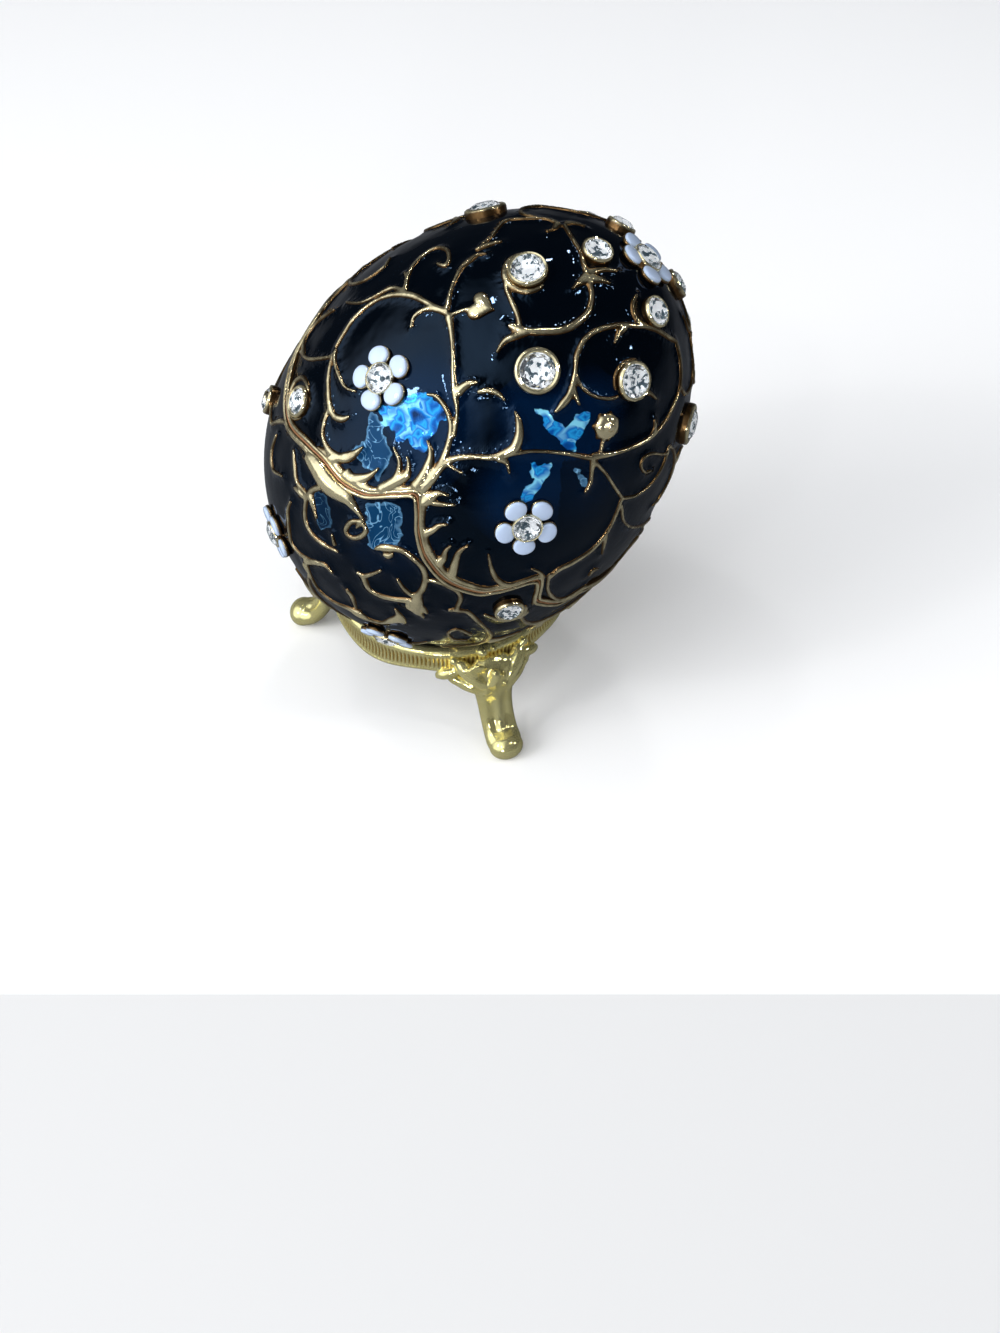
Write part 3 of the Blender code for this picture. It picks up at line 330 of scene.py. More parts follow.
# Vines, leaves and curls of the base, in the same form
BASE_SCROLLS = {
    "broad_leaf": ((-30, 97.5, 0.3), (-25.5, 96.5, 0.5), (-20.5, 97.5, 0.65), (-16.5, 98, 0.65),
        (-13, 97, 0.55), (-10, 97, 0.4), (-5, 97.5, 0.1)),
    "west_bow": ((-17.5, 98.5, 0.3), (-21, 102.5, 0.3), (-22, 106, 0.3), (-21, 109, 0.25),
        (-18, 112.5, 0.25), (-14, 113.5, 0.25), (-9.5, 112.5, 0.25), (-4.5, 110, 0.1)),
    "west_bow_leaf": ((-21.5, 105.5, 0.25), (-18.5, 107, 0.25), (-15.5, 108.5, 0.1)),
    "west_bow_spur": ((-9.5, 107.5, 0.1), (-6.5, 109.5, 0.25)),
    "west_line": ((-52, 111, 0.2), (-47, 105.5, 0.25), (-41, 101, 0.25), (-35.5, 99.5, 0.25),
        (-30, 97.5, 0.3)),
    "west_hook": ((-35, 103.5, 0.15), (-31.5, 105.5, 0.25), (-27.5, 107.5, 0.25),
        (-23, 106.5, 0.25)),
    "west_sweep": ((-26, 113.5, 0.15), (-25.5, 117, 0.2), (-22.5, 121, 0.25), (-19.5, 125, 0.25),
        (-15, 125, 0.25), (-10.5, 122.5, 0.25), (-7.5, 119.5, 0.15)),
    "low_wall": ((-11.5, 126, 0.42), (-6.5, 129.5, 0.25), (-1.5, 132.5, 0.22), (5, 131.5, 0.22),
        (10.5, 127.5, 0.33), (14, 126, 0.47), (18, 125.5, 0.33), (21.5, 123, 0.25), (22.5, 118, 0.42),
        (23, 115.5, 0.47)),
    "low_wall_hook": ((-11.5, 125, 0.42), (-8, 121, 0.28), (-5, 118, 0.28), (-1.5, 118, 0.1)),
    "low_wall_tip": ((19, 113, 0.1), (21.5, 114.5, 0.33), (23.5, 116, 0.47), (26, 117, 0.2)),
    "joint": ((20, 109.5, 0.36), (22, 108, 0.6), (20.5, 104.5, 0.36)),
    "joint_leaf": ((22, 108, 0.4), (24.5, 109.5, 0.36), (27.5, 110.5, 0.1)),
    "west_wall": ((-27.5, 109.5, 0.2), (-25, 108.5, 0.33), (-22.5, 107.5, 0.3), (-22, 104, 0.25)),
    "west_edge": ((-45.5, 108.5, 0.15), (-44, 113.5, 0.2), (-39.5, 115.5, 0.25), (-33.5, 112, 0.1)),
    "spiral": ((-5.5, 98, 0.15), (-7.5, 100.5, 0.25), (-7, 103.5, 0.25), (-4.5, 103.5, 0.25),
        (-3, 101.5, 0.25), (-3, 99, 0.25), (-5, 98.5, 0.2), (-5.5, 100.5, 0.15)),
    "middle_bow": ((2, 101, 0.15), (3.5, 99, 0.35), (7, 96.5, 0.3), (10.5, 96, 0.3), (14.5, 96.5, 0.3),
        (17.5, 98.5, 0.3), (19.5, 102, 0.3), (19.5, 105, 0.3), (16, 105, 0.25), (12, 103.5, 0.1)),
    "middle_bow_bud": ((4.5, 100.5, 0.15), (6, 100, 0.3), (6.5, 98.5, 0.15)),
    "middle_wave": ((3, 110.5, 0.1), (5.5, 110.5, 0.3), (9, 112.5, 0.3), (13, 112, 0.3),
        (16.5, 110, 0.3), (20, 107.5, 0.35), (24, 107.5, 0.35), (27, 108.5, 0.15)),
    "middle_wave_hook": ((5.5, 110, 0.25), (6.5, 107.5, 0.2), (7.5, 104.5, 0.1)),
    "low_spur": ((-11, 124.5, 0.15), (-7, 129, 0.2), (-4, 131, 0.15)),
    "low_leaf": ((4.5, 119, 0.1), (8, 120.5, 0.25), (12, 124.5, 0.15)),
    "east_line": ((17.5, 99, 0.25), (21, 97.5, 0.25), (26, 97, 0.25), (29.5, 98.5, 0.25),
        (32, 102.5, 0.25), (35, 102, 0.25), (40.5, 104, 0.25), (46.5, 106.5, 0.15)),
    "east_line_bud": ((30, 104, 0.15), (31.5, 103, 0.25), (33, 102.5, 0.2)),
    "east_hook": ((40, 101, 0.1), (46.5, 101.5, 0.2), (52.5, 99.5, 0.2), (52.5, 96.5, 0.1)),
    "seam_end": ((45, 86.5, 0.15), (49.5, 90, 0.2), (51, 94, 0.15)),
    "joint_link": ((20.5, 103.5, 0.2), (22, 106.5, 0.2), (24.5, 108.5, 0.2)),
    "rim_arc": ((26.5, 131, 0.1), (34, 132.5, 0.25), (40.5, 130.5, 0.25), (40.5, 123.5, 0.1)),
    "rim_oval": ((46.5, 111.5, 0.15), (39.5, 110, 0.15), (39, 113.5, 0.15), (44.5, 116.5, 0.15),
        (48.5, 115, 0.15)),
    "side_vine": ((52.5, 99.5, 0.2), (60, 103, 0.3), (68, 104, 0.35), (77, 101, 0.3), (84, 100, 0.3),
        (92, 103, 0.3), (97, 108, 0.3), (95, 113, 0.25), (89, 114, 0.2)),
    "side_leaf_a": ((68, 104, 0.35), (70, 109, 0.35), (75, 113, 0.1)),
    "side_leaf_b": ((77, 101, 0.3), (80, 97, 0.25), (86, 95, 0.1)),
    "side_link": ((97, 108, 0.3), (104, 112, 0.3), (112, 113, 0.3), (120, 111, 0.3), (128, 111, 0.2)),
    "side_ring": ((104, 112, 0.3), (103, 118, 0.35), (98, 123, 0.35), (90, 126, 0.3), (81, 125, 0.3),
        (74, 121, 0.25), (73, 116, 0.2), (78, 115, 0.15)),
    "side_leaf_c": ((90, 126, 0.3), (88, 131, 0.3), (82, 135, 0.1)),
    "side_down": ((46.5, 106.5, 0.2), (52, 110, 0.3), (57, 115, 0.3), (60, 121, 0.3), (60, 127, 0.3),
        (55, 131, 0.2)),
    "side_leaf_d": ((57, 115, 0.3), (63, 114, 0.3), (67, 110, 0.1)),
    "under_arc": ((60, 127, 0.3), (66, 134, 0.3), (76, 139, 0.3), (88, 141, 0.3), (100, 139, 0.3),
        (108, 134, 0.25), (108, 129, 0.15)),
    "under_leaf_a": ((76, 139, 0.3), (74, 146, 0.3), (64, 152, 0.1)),
    "under_vine": ((-8, 128, 0.2), (-6, 136, 0.3), (0, 143, 0.35), (10, 148, 0.3), (24, 150, 0.2)),
    "under_leaf_b": ((0, 143, 0.35), (-10, 147, 0.3), (-20, 148, 0.1)),
}
PATTERN_REPEAT = 180
SCROLL_SWELL = {"lid": 1.35, "base": 1.75}
SCROLL_THINNEST = 0.17
LEAF_SWELL = 0.6
TIP_SHARE = 0.6
SEAM_KEEP = 0.8
SCROLL_SINK = 0.15 * MM
SCROLL_FLATNESS = 0.9
SCROLL_LOWEST = 0.46 * MM
# Rise over the skin at which the gilt's painted crest highlight is full
SCROLL_BRIGHT = 0.5 * MM
SCROLL_STEPS = 6
SCROLL_SIDES = 10

# Grain at which castings are melted into one, and how they are softened then
SCROLL_MELT = 0.16 * MM
STAND_MELT = 0.19 * MM
MELT_ROUNDS = 2
MELT_SOFTNESS = 0.5

# Fineness of the enamel skins, and the slots of their materials
SHELL_COLUMNS = 540
SHELL_ROWS = 150
INNER_ROWS = 14
ENAMEL_SLOT, INSIDE_SLOT, EDGE_SLOT = range(3)

# Ground, in metres: where the strip meets the floor, and each sheet's finish, side of it and shade
GROUND_SIZE = 4
GROUND_EDGE = -0.060
GROUND_DROP = 0.0001
GROUNDS = (("floor", "white_floor", 1, 0.9), ("floor_strip", "grey_floor", -1, 0.68))
GROUND_GLOW = 0.1
GROUND_MIRRORED = (0.13, 0.135, 0.145)

# Lamps: name, place in metres from the egg's middle, size and power
LAMPS = (
    ("window", (-0.76, -0.32, 0.34), 0.46, 4.9),
    ("ceiling", (0.04, -0.16, 1.0), 0.8, 3.4),
    ("left_glint", (-0.30, -0.16, 0.26), 0.035, 0.2),
    ("right_glint", (0.26, -0.12, 0.34), 0.025, 0.14),
    ("low_glint", (-0.05, -0.42, 0.10), 0.045, 0.25),
    ("front_glint", (-0.17, -0.30, 0.30), 0.022, 0.11),
    ("side_glint", (0.32, -0.04, 0.18), 0.025, 0.12),
    ("high_glint", (-0.14, 0.04, 0.42), 0.022, 0.11),
    ("back_glint", (0.04, 0.22, 0.40), 0.025, 0.16),
)
UNMIRRORED_LAMPS = ("window", "ceiling")

# Room: the side of its window, and its brightness from the far side to the window
WINDOW_SIDE = Vector((-0.72, -0.35, 0.60))
ROOM_STOPS = ((0.60, (0.023, 0.027, 0.036)), (0.95, (1.17, 1.22, 1.3)))
ROOM_SEEN = (0.86, 0.87, 0.88)

# Camera: its place from the egg's middle, tilt and lens in millimetres
CAMERA_PLACE = Vector((0.00287, -0.12176, 0.10212))
CAMERA_TILT = 39
CAMERA_LENS = 43.2
CAMERA_SENSOR = 36
CAMERA_NEAREST = 0.01


def profile_shape(polar):
    """How wide the egg is at a polar angle from its top, as a share before scaling."""
    return math.sin(polar) * (1 - EGG_TAPER * math.cos(polar))


PROFILE_PEAK = max(profile_shape(math.radians(angle)) for angle in range(60, 121))
POSE = (
    Matrix.Translation(EGG_MIDDLE)
    @ Matrix.Rotation(math.radians(EGG_LEAN), 4, "Y")
    @ Matrix.Rotation(math.radians(EGG_SPIN), 4, "Z")
)


def around(azimuth, radius, height):
    """Point at an azimuth in degrees: 0 is the front, -Y, and 90 is +X."""
    turn = math.radians(azimuth)
    return Vector((radius * math.sin(turn), -radius * math.cos(turn), height))


def skin(azimuth, polar, rise=0.0):
    """Point on the egg's skin, or on a skin that lies further out by rise."""
    angle = math.radians(polar)
    radius = (EGG_WIDTH / 2 + rise) * profile_shape(angle) / PROFILE_PEAK
    return POSE @ around(azimuth, radius, (EGG_HEIGHT / 2 + rise) * math.cos(angle))


def skin_frame(azimuth, polar):
    """Frame on the egg's skin: Z outwards, X to the right, Y up towards the top."""
    step = 0.01
    low = skin(azimuth, min(polar + step, 180))
    high = skin(azimuth, max(polar - step, 0))
    turn = math.radians(azimuth)
    side = POSE.to_3x3() @ Vector((math.cos(turn), math.sin(turn), 0))
    upwards = (high - low).normalized()
    outwards = side.cross(upwards)
    placed = Matrix((side, upwards, outwards)).transposed().to_4x4()
    placed.translation = skin(azimuth, polar)
    return placed


def smooth_through(knots, where, repeat):
    """Smooth curve through knots that repeat, with no overshoot between them."""
    first = knots[0][0]
    where = first + (where - first) % repeat
    count = len(knots)

    def knot(index):
        turns, place = divmod(index, count)
        return knots[place][0] + turns * repeat, knots[place][1]

    def slope(index):
        before, here, after = knot(index - 1), knot(index), knot(index + 1)
        left = (here[1] - before[1]) / (here[0] - before[0])
        right = (after[1] - here[1]) / (after[0] - here[0])
        return 0.0 if left * right <= 0 else 2 * left * right / (left + right)

    place = max(i for i in range(count) if knots[i][0] <= where)
    start, end = knot(place), knot(place + 1)
    width = end[0] - start[0]
    t = (where - start[0]) / width
    ease = t * t * (3 - 2 * t)
    lift = slope(place) * t * (1 - t) ** 2 - slope(place + 1) * t * t * (1 - t)
    return start[1] + (end[1] - start[1]) * ease + width * lift


def seam_polar(azimuth):
    """Polar angle of the seam: a wave that runs level where the hinge sits."""
    wave = smooth_through(SEAM_WAVE, azimuth, SEAM_REPEAT)
    away = abs((azimuth - HINGE_AZIMUTH + 180) % 360 - 180)
    t = max(0.0, min(1.0, (away - HINGE_LEVEL) / HINGE_BLEND))
    ease = t * t * (3 - 2 * t)
    return HINGE_POLAR + (wave - HINGE_POLAR) * ease


class Signal:
    """A socket of a node tree, for use in expressions on numbers."""

    def __init__(self, nodes, socket):
        self.nodes = nodes
        self.socket = socket

    def maths(self, operation, first, second):
        return self.nodes.node("Math", {"operation": operation}, {0: first, 1: second})

    def __add__(self, other):
        return self.maths("ADD", self, other)

    def __sub__(self, other):
        return self.maths("SUBTRACT", self, other)

    def __rsub__(self, other):
        return self.maths("SUBTRACT", other, self)

    def __mul__(self, other):
        return self.maths("MULTIPLY", self, other)

    __radd__ = __add__
    __rmul__ = __mul__


class Nodes:
    """The nodes of a material or a world."""

    def __init__(self, tree):
        self.tree = tree

    def put(self, socket, value):
        """Link a signal to a socket, or set its plain value."""
        if isinstance(value, Signal):
            self.tree.links.new(value.socket, socket)
        elif isinstance(value, tuple) and len(value) == 3 and len(socket.default_value) == 4:
            socket.default_value = (*value, 1.0)
        else:
            socket.default_value = value

    def node(self, kind, settings=None, inputs=None, output=0):
        """Any node by its type, with its settings and the values or links of its sockets."""
        made = self.tree.nodes.new(f"ShaderNode{kind}")
        for setting, value in (settings or {}).items():
            if setting == "stops":
                while len(made.color_ramp.elements) < len(value):
                    made.color_ramp.elements.new(1.0)
                for element, (place, colour) in zip(made.color_ramp.elements, value):
                    element.position = place
                    element.color = (*colour, 1.0)
            elif setting == "easing":
                made.color_ramp.interpolation = value
            else:
                setattr(made, setting, value)
        for socket, value in (inputs or {}).items():
            self.put(made.inputs[socket], value)
        return Signal(self, made.outputs[output])

    def mix(self, share, first, second):
        """Colour between two colours."""
        return self.node("Mix", {"data_type": "RGBA"}, {0: share, 6: first, 7: second}, 2)


class Finish(Nodes):
    """A material and the nodes that give it its look."""

    def __init__(self, name, **plain):
        self.material = bpy.data.materials.new(name)
        self.material.use_nodes = True
        super().__init__(self.material.node_tree)
        self.shader = self.tree.nodes["Principled BSDF"]
        self.wear(**plain)

    def wear(self, **sockets):
        """Set or link the shader's own sockets: base_color is Base Color."""
        for name, value in sockets.items():
            label = name.replace("_", " ").title().replace("Ior", "IOR")
            self.put(self.shader.inputs[label], value)

    def place(self):
        """Place on the object, in metres."""
        return self.node("TexCoord", output="Object")

    def noise(self, size, detail=3.0, roughness=0.5, output="Fac", **more):
        """Noise whose lumps are about size across."""
        inputs = {"Vector": self.place(), "Scale": 1 / size, "Detail": detail, "Roughness": roughness}
        inputs.update(more)
        return self.node("TexNoise", None, inputs, output)

    def between(self, signal, low, high):
        """Smooth step from 0 at low to 1 at high."""
        settings = {"interpolation_type": "SMOOTHSTEP"}
        inputs = {"Value": signal, "From Min": low, "From Max": high}
        return self.node("MapRange", settings, inputs)

    def layer(self, name):
        """Share that a piece keeps at each of its corners."""
        return self.node("Attribute", {"attribute_name": name}, None, "Fac")

    def bump(self, height, distance):
        """Unevenness of the surface, distance deep."""
        inputs = {"Height": height, "Distance": distance, "Strength": 1.0}
        self.wear(normal=self.node("Bump", None, inputs))


def painted_reflection_folds(finish, light):
    """Facets of foil just under the enamel, painted as reflections of light: each facet painted brighter
    or darker, with painted shading across it, in blues that turn paler with the patch's light.
    """
    shake = finish.noise(2.4 * MM, 1.0, 0.5, "Color")
    spot = finish.node("VectorMath", {"operation": "MULTIPLY_ADD"}, {
        0: shake, 1: (2.2 * MM, 2.2 * MM, 2.2 * MM), 2: finish.place()})
    sheet = {"Vector": spot, "Scale": 1 / (1.5 * MM)}
    facets = {"feature": "F1", "distance": "MANHATTAN"}
    painted_facet_glint = finish.node("TexVoronoi", facets, sheet, "Color")
    slope = finish.node("TexVoronoi", facets, sheet, "Distance")
    # Painted reflection: each facet's own brightness and the painted shading across it pick a blue
    return finish.node("ValToRGB", {"stops": (
        (0.26, (0.001, 0.014, 0.07)),
        (0.44, (0.005, 0.10, 0.42)),
        (0.56, (0.02, 0.36, 0.80)),
        (0.64, (0.01, 0.14, 0.52)),
        (0.86, (0.25, 0.72, 0.94)),
    )}, {"Fac": painted_facet_glint * 0.55 + slope * 0.40 + (light - 1.0) * 0.4}, "Color")


def dim_creases(finish, light, ragged):
    """Foil deep under the enamel: a dark sheet whose brightness follows the patch's light, with thin pale
    creases and a pale edge as painted highlights.
    """
    crease = finish.noise(2.6 * MM, 1.0, 0.5, Distortion=2.0)
    off = finish.node("Math", {"operation": "ABSOLUTE"}, {0: crease - 0.5})
    # Painted highlights along the creases and along the patch's edge
    painted_crease_highlights = finish.between(off, 0.022, 0.0) + finish.between(ragged, 0.53, 0.51) * 0.35
    # The sheet is painted brighter where the patch's light is higher
    sunk = finish.mix(light * 2.5, (0.0004, 0.002, 0.006), (0.004, 0.050, 0.14))
    return finish.mix(painted_crease_highlights * (light * 2.2), sunk, (0.25, 0.56, 0.85))


def navy_enamel():
    """Near-black navy enamel over crumpled blue foil, whose brightness is a painted reflection of light,
    with a painted navy glow round the brighter patches.
    """
    finish = Finish("navy_enamel", ior=1.5, specular_tint=(0.30, 0.52, 0.85))
    depth = finish.layer("foil_depth")
    light = finish.layer("foil_light")
    ragged = depth + (finish.noise(1.5 * MM, 2.0) - 0.5) * 0.12
    foil = finish.between(ragged, 0.497, 0.506)
    # Painted glow: the enamel turns navy near a foil patch, the more as the patch's painted light is
    # higher
    glow = finish.between(depth, 0.1, 0.5)
    navy_ground_painted_glow = finish.mix(glow * light, (0.0004, 0.0012, 0.0025), (0.0005, 0.007, 0.026))
    # Brighter patches get the painted reflections of the folds, dimmer ones the painted creases
    bright = finish.between(light, 0.5, 0.9)
    crumpled = finish.mix(bright, dim_creases(finish, light, ragged), painted_reflection_folds(finish, light))
    finish.wear(base_color=finish.mix(foil, navy_ground_painted_glow, crumpled))
    finish.wear(metallic=foil * 0.25, roughness=foil * 0.15 + 0.03)
    ripple = finish.noise(0.7 * MM, 1.0) * (finish.layer("shore") * 2.5)
    finish.bump(finish.noise(2.4 * MM, 1.0) + ripple, 0.08 * MM)
    return finish.material


def antique_gilt():
    """Antique gold with a painted highlight on its crests and painted shade in dark brown low down where
    it meets the enamel.
    """
    finish = Finish("antique_gilt")
    relief = finish.layer("relief")
    patch = finish.noise(1.6 * MM, 3.0)
    # Painted light: paler on the high crests, dark brown on the low flanks, broken up by noise
    painted_crest_light = finish.between(relief + (patch - 0.5) * 0.6, 0.5, 1.02)
    finish.wear(base_color=finish.mix(painted_crest_light, (0.16, 0.09, 0.035), (1.0, 0.88, 0.54)))
    finish.wear(roughness=0.28 - painted_crest_light * 0.17, metallic=0.98 - painted_crest_light * 0.09)
    finish.bump(finish.noise(0.8 * MM, 2.0), 0.05 * MM)
    return finish.material


def copper_groove():
    """Copper of the lip and the edges in the groove between the two rims."""
    finish = Finish("copper_groove", metallic=0.6, roughness=0.38)
    patch = finish.noise(1.2 * MM, 3.0)
    finish.wear(base_color=finish.mix(patch, (0.48, 0.22, 0.10), (0.72, 0.38, 0.20)))
    return finish.material


def inner_gilt():
    """Gold inside the shells and on the hinge."""
    finish = Finish("inner_gilt", metallic=1.0)
    patch = finish.noise(3 * MM, 4.0)
    finish.wear(base_color=finish.mix(patch, (0.66, 0.48, 0.22), (0.82, 0.64, 0.34)))
    finish.wear(roughness=patch * 0.25 + 0.2)
    finish.bump(finish.noise(0.8 * MM, 2.0), 0.04 * MM)
    return finish.material


def bright_gold():
    """Polished lemon-yellow gold of the stand, with painted shade in brown in its hollows and in the
    grooves between its ribs.
    """
    finish = Finish("bright_gold", metallic=0.8)
    patch = finish.noise(2.5 * MM, 3.0)
    # Painted shade: brown where the surface is hollow, and in the grooves between the ribs
    painted_hollow_shade = finish.between(finish.node("NewGeometry", output="Pointiness"), 0.38, 0.50)
    plated = finish.mix(patch, (0.93, 0.81, 0.28), (1.0, 0.95, 0.52))
    painted_lit_share = painted_hollow_shade - finish.layer("groove") * 0.8
    finish.wear(base_color=finish.mix(painted_lit_share, (0.45, 0.28, 0.06), plated))
    finish.wear(roughness=patch * 0.14 + 0.1)
    finish.bump(finish.noise(1.4 * MM, 3.0), 0.10 * MM)
    return finish.material


def petal_enamel():
    """Opaque lilac-white enamel."""
    finish = Finish("petal_enamel", roughness=0.18, coat_weight=0.6, coat_roughness=0.05)
    patch = finish.noise(1.5 * MM, 2.0)
    finish.wear(base_color=finish.mix(patch, (0.43, 0.54, 0.74), (0.53, 0.64, 0.83)))
    return finish.material


def clear_crystal():
    """Clear lead glass with a breath of teal."""
    finish = Finish("clear_crystal", roughness=0.0, transmission_weight=1.0, ior=1.5)
    patch = finish.noise(1.5 * MM, 1.0)
    finish.wear(base_color=finish.mix(patch, (0.92, 0.97, 0.98), (1.0, 1.0, 1.0)))
    return finish.material


def silver_foil_painted_glow():
    """Silvered back behind the stones, with painted glints as dark and bright specks and a painted glow
    from its emission.
    """
    finish = Finish("silver_foil_painted_glow", metallic=0.4, roughness=0.3)
    patch = finish.between(finish.noise(0.5 * MM, 2.0), 0.43, 0.54)
    silver_painted_sparkle = finish.mix(patch, (0.05, 0.08, 0.10), (0.95, 0.97, 1.0))
    # Painted glints and glow: the specks stand in for the stone's facet reflections, and the foil glows
    finish.wear(base_color=silver_painted_sparkle, emission_color=silver_painted_sparkle, emission_strength=0.5)
    return finish.material


def polished_steel():
    """Nickel-bright steel of the hinge pin and the magnets."""
    finish = Finish("polished_steel", metallic=1.0, base_color=(0.6, 0.61, 0.63))
    finish.wear(roughness=finish.noise(1 * MM, 3.0) * 0.3 + 0.15)
    return finish.material


def white_ground(name, shade):
    """Ground that keeps the object's shadow, glows a little to the camera and is dark to gloss."""
    finish = Finish(name, roughness=0.9, specular_ior_level=0.0)
    grain = finish.noise(0.3, 2.0)
    mirrored = finish.node("LightPath", output="Is Glossy Ray")
    finish.wear(base_color=finish.mix(mirrored, (shade, shade, shade), GROUND_MIRRORED))
    seen = finish.node("LightPath", output="Is Camera Ray") * (0.98 + grain * 0.04)
    glow = shade * GROUND_GLOW
    shine = finish.mix(seen, (0, 0, 0), (glow, glow, glow))
    finish.wear(emission_color=shine, emission_strength=1.0)
    return finish.material


def clear_choice():
    """Object mode, with nothing selected."""
    if bpy.context.object and bpy.context.object.mode != "OBJECT":
        bpy.ops.object.mode_set(mode="OBJECT")
    bpy.ops.object.select_all(action="DESELECT")


def choose(thing):
    """Select one object alone and make it the active one."""
    clear_choice()
    thing.select_set(True)
    bpy.context.view_layer.objects.active = thing


def new_piece(name, bm, materials):
    """Object from a mesh made in place."""
    mesh = bpy.data.meshes.new(name)
    bm.to_mesh(mesh)
    bm.free()
    for material in materials:
        mesh.materials.append(material)
    mesh.shade_smooth()
    thing = bpy.data.objects.new(name, mesh)
    bpy.context.scene.collection.objects.link(thing)
    return thing


def join_as(name, things):
    """One object out of several."""
    clear_choice()
    for thing in things:
        thing.select_set(True)
    bpy.context.view_layer.objects.active = things[0]
    if len(things) > 1:
        bpy.ops.object.join()
    joined = bpy.context.object
    joined.name = name
    joined.data.name = name
    return joined


def catmull(points, steps):
    """Smooth run of points through a few, with steps to each stretch."""
    ends = [[2 * a - b for a, b in zip(points[0], points[1])]]
    ends += [list(point) for point in points]
    ends.append([2 * a - b for a, b in zip(points[-1], points[-2])])
    run = []
    for i in range(1, len(ends) - 2):
        for step in range(steps):
            t = step / steps
            spot = []
            for a, b, c, d in zip(*ends[i - 1:i + 3]):
                bend = (2 * a - 5 * b + 4 * c - d) * t * t + (3 * b - a - 3 * c + d) * t ** 3
                spot.append(0.5 * (2 * b + (c - a) * t + bend))
            run.append(spot)
    run.append(list(points[-1]))
    return run


def bridge(bm, low, high, slot=0):
    """Band of faces between two rings of corners."""
    for i in range(len(low)):
        j = (i + 1) % len(low)
        face = bm.faces.new((low[i], low[j], high[j], high[i]))
        face.material_index = slot


def turned_points(points, turn):
    """The same stroke further round the egg."""
    return [(azimuth + turn, polar, width) for azimuth, polar, width in points]


def add_ridge(bm, centres, facings, widths, rises, sides, closed=False, layer=None):
    """Rounded ridge along a line, whose height a layer may keep."""
    rings = []
    count = len(centres)
    for i, (centre, outwards) in enumerate(zip(centres, facings)):
        before = centres[i - 1] if i or closed else centres[0]
        after = centres[(i + 1) % count] if i < count - 1 or closed else centres[-1]
        across = (after - before).cross(outwards).normalized()
        ring = []
        for side in range(sides):
            angle = 2 * math.pi * side / sides
            spot = centre + across * widths[i] * math.cos(angle) + outwards * rises[i] * math.sin(angle)
            corner = bm.verts.new(spot)
            if layer is not None:
                corner[layer] = max(0.0, math.sin(angle))
            ring.append(corner)
        rings.append(ring)
    pairs = list(zip(rings, rings[1:]))
    if closed:
        pairs.append((rings[-1], rings[0]))
    for low, high in pairs:
        bridge(bm, low, high)
    if not closed:
        bm.faces.new(rings[0])
        bm.faces.new(rings[-1])


def beside(azimuth, polar, across, up):
    """Place on the egg that lies a short way across and up from another."""
    angle = math.radians(polar)
    radius = EGG_WIDTH / 2 * profile_shape(angle) / PROFILE_PEAK
    run = math.hypot(EGG_WIDTH / 2 * math.cos(angle), EGG_HEIGHT / 2 * math.sin(angle))
    return azimuth + math.degrees(across / radius), polar - math.degrees(up / run)


def swirl_run(azimuth, polar, reach, rise, first, last, width):
    """Crescent round a stone, thin at its ends."""
    points = []
    for step in range(SWIRL_STEPS + 1):
        share = step / SWIRL_STEPS
        angle = math.radians(first + (last - first) * share)
        spot = beside(azimuth, polar, reach * MM * math.cos(angle), rise * MM * math.sin(angle))
        swell = SWIRL_TIP + (1 - SWIRL_TIP) * math.sin(math.pi * share)
        points.append((*spot, width * swell))
    return points


def scroll_runs(shell, strokes, side, turn):
    """Every stroke of one half of a shell as a fine run that keeps clear of the seam."""
    lines = [(points, LEAF_SWELL if "leaf" in name else 0.0) for name, points in strokes.items()]
    lines += [(swirl_run(*swirl[1:]), 0.0) for swirl in SWIRLS if swirl[0] == shell]
    runs = []
    for points, leaf in lines:
        run = []
        fine = catmull(turned_points(points, turn), SCROLL_STEPS)
        for place, (azimuth, polar, width) in enumerate(fine):
            width = max(width, SCROLL_THINNEST) * SCROLL_SWELL[shell] * MM
            width *= 1 + leaf * (1 - place / len(fine)) ** 2
            edge = seam_polar(azimuth) - side * (width * SEAM_KEEP + SEAM_GAP) * SEAM_DEGREES
            polar = min(polar, edge) if side > 0 else max(polar, edge)
            run.append((azimuth, polar, width))
        runs.append(run)
    return runs


def add_dome(bm, azimuth, polar, outline, height):
    """Low cushion on the skin, from an outline in metres across and up."""
    rings = []
    for share, rise in DOME_PROFILE:
        ring = []
        for across, up in outline:
            spot = beside(azimuth, polar, across * share, up * share)
            ring.append(bm.verts.new(skin(*spot, rise * height)))
        rings.append(ring)
    for low, high in zip(rings, rings[1:]):
        bridge(bm, low, high)
    bm.faces.new(rings[0])
    bm.faces.new(rings[-1])


def round_outline(radius, reach=0.0, turn=0.0):
    """Circle of a dome, moved off its middle by reach."""
    off = Vector((math.cos(turn), math.sin(turn))) * reach
    angles = [2 * math.pi * i / DOME_CORNERS for i in range(DOME_CORNERS)]
    return [(off.x + radius * math.cos(angle), off.y + radius * math.sin(angle)) for angle in angles]


def heart_outline(size, turn):
    """Heart curve about twice its size wide, with its tip at turn - 90 degrees."""
    spin = Matrix.Rotation(math.radians(turn), 2)
    spots = []
    for i in range(HEART_CORNERS):
        t = 2 * math.pi * i / HEART_CORNERS
        up = 13 * math.cos(t) - 5 * math.cos(2 * t) - 2 * math.cos(3 * t) - math.cos(4 * t)
        spots.append(spin @ Vector((16 * math.sin(t) ** 3, up)) * size / 15)
    return [tuple(spot) for spot in spots]


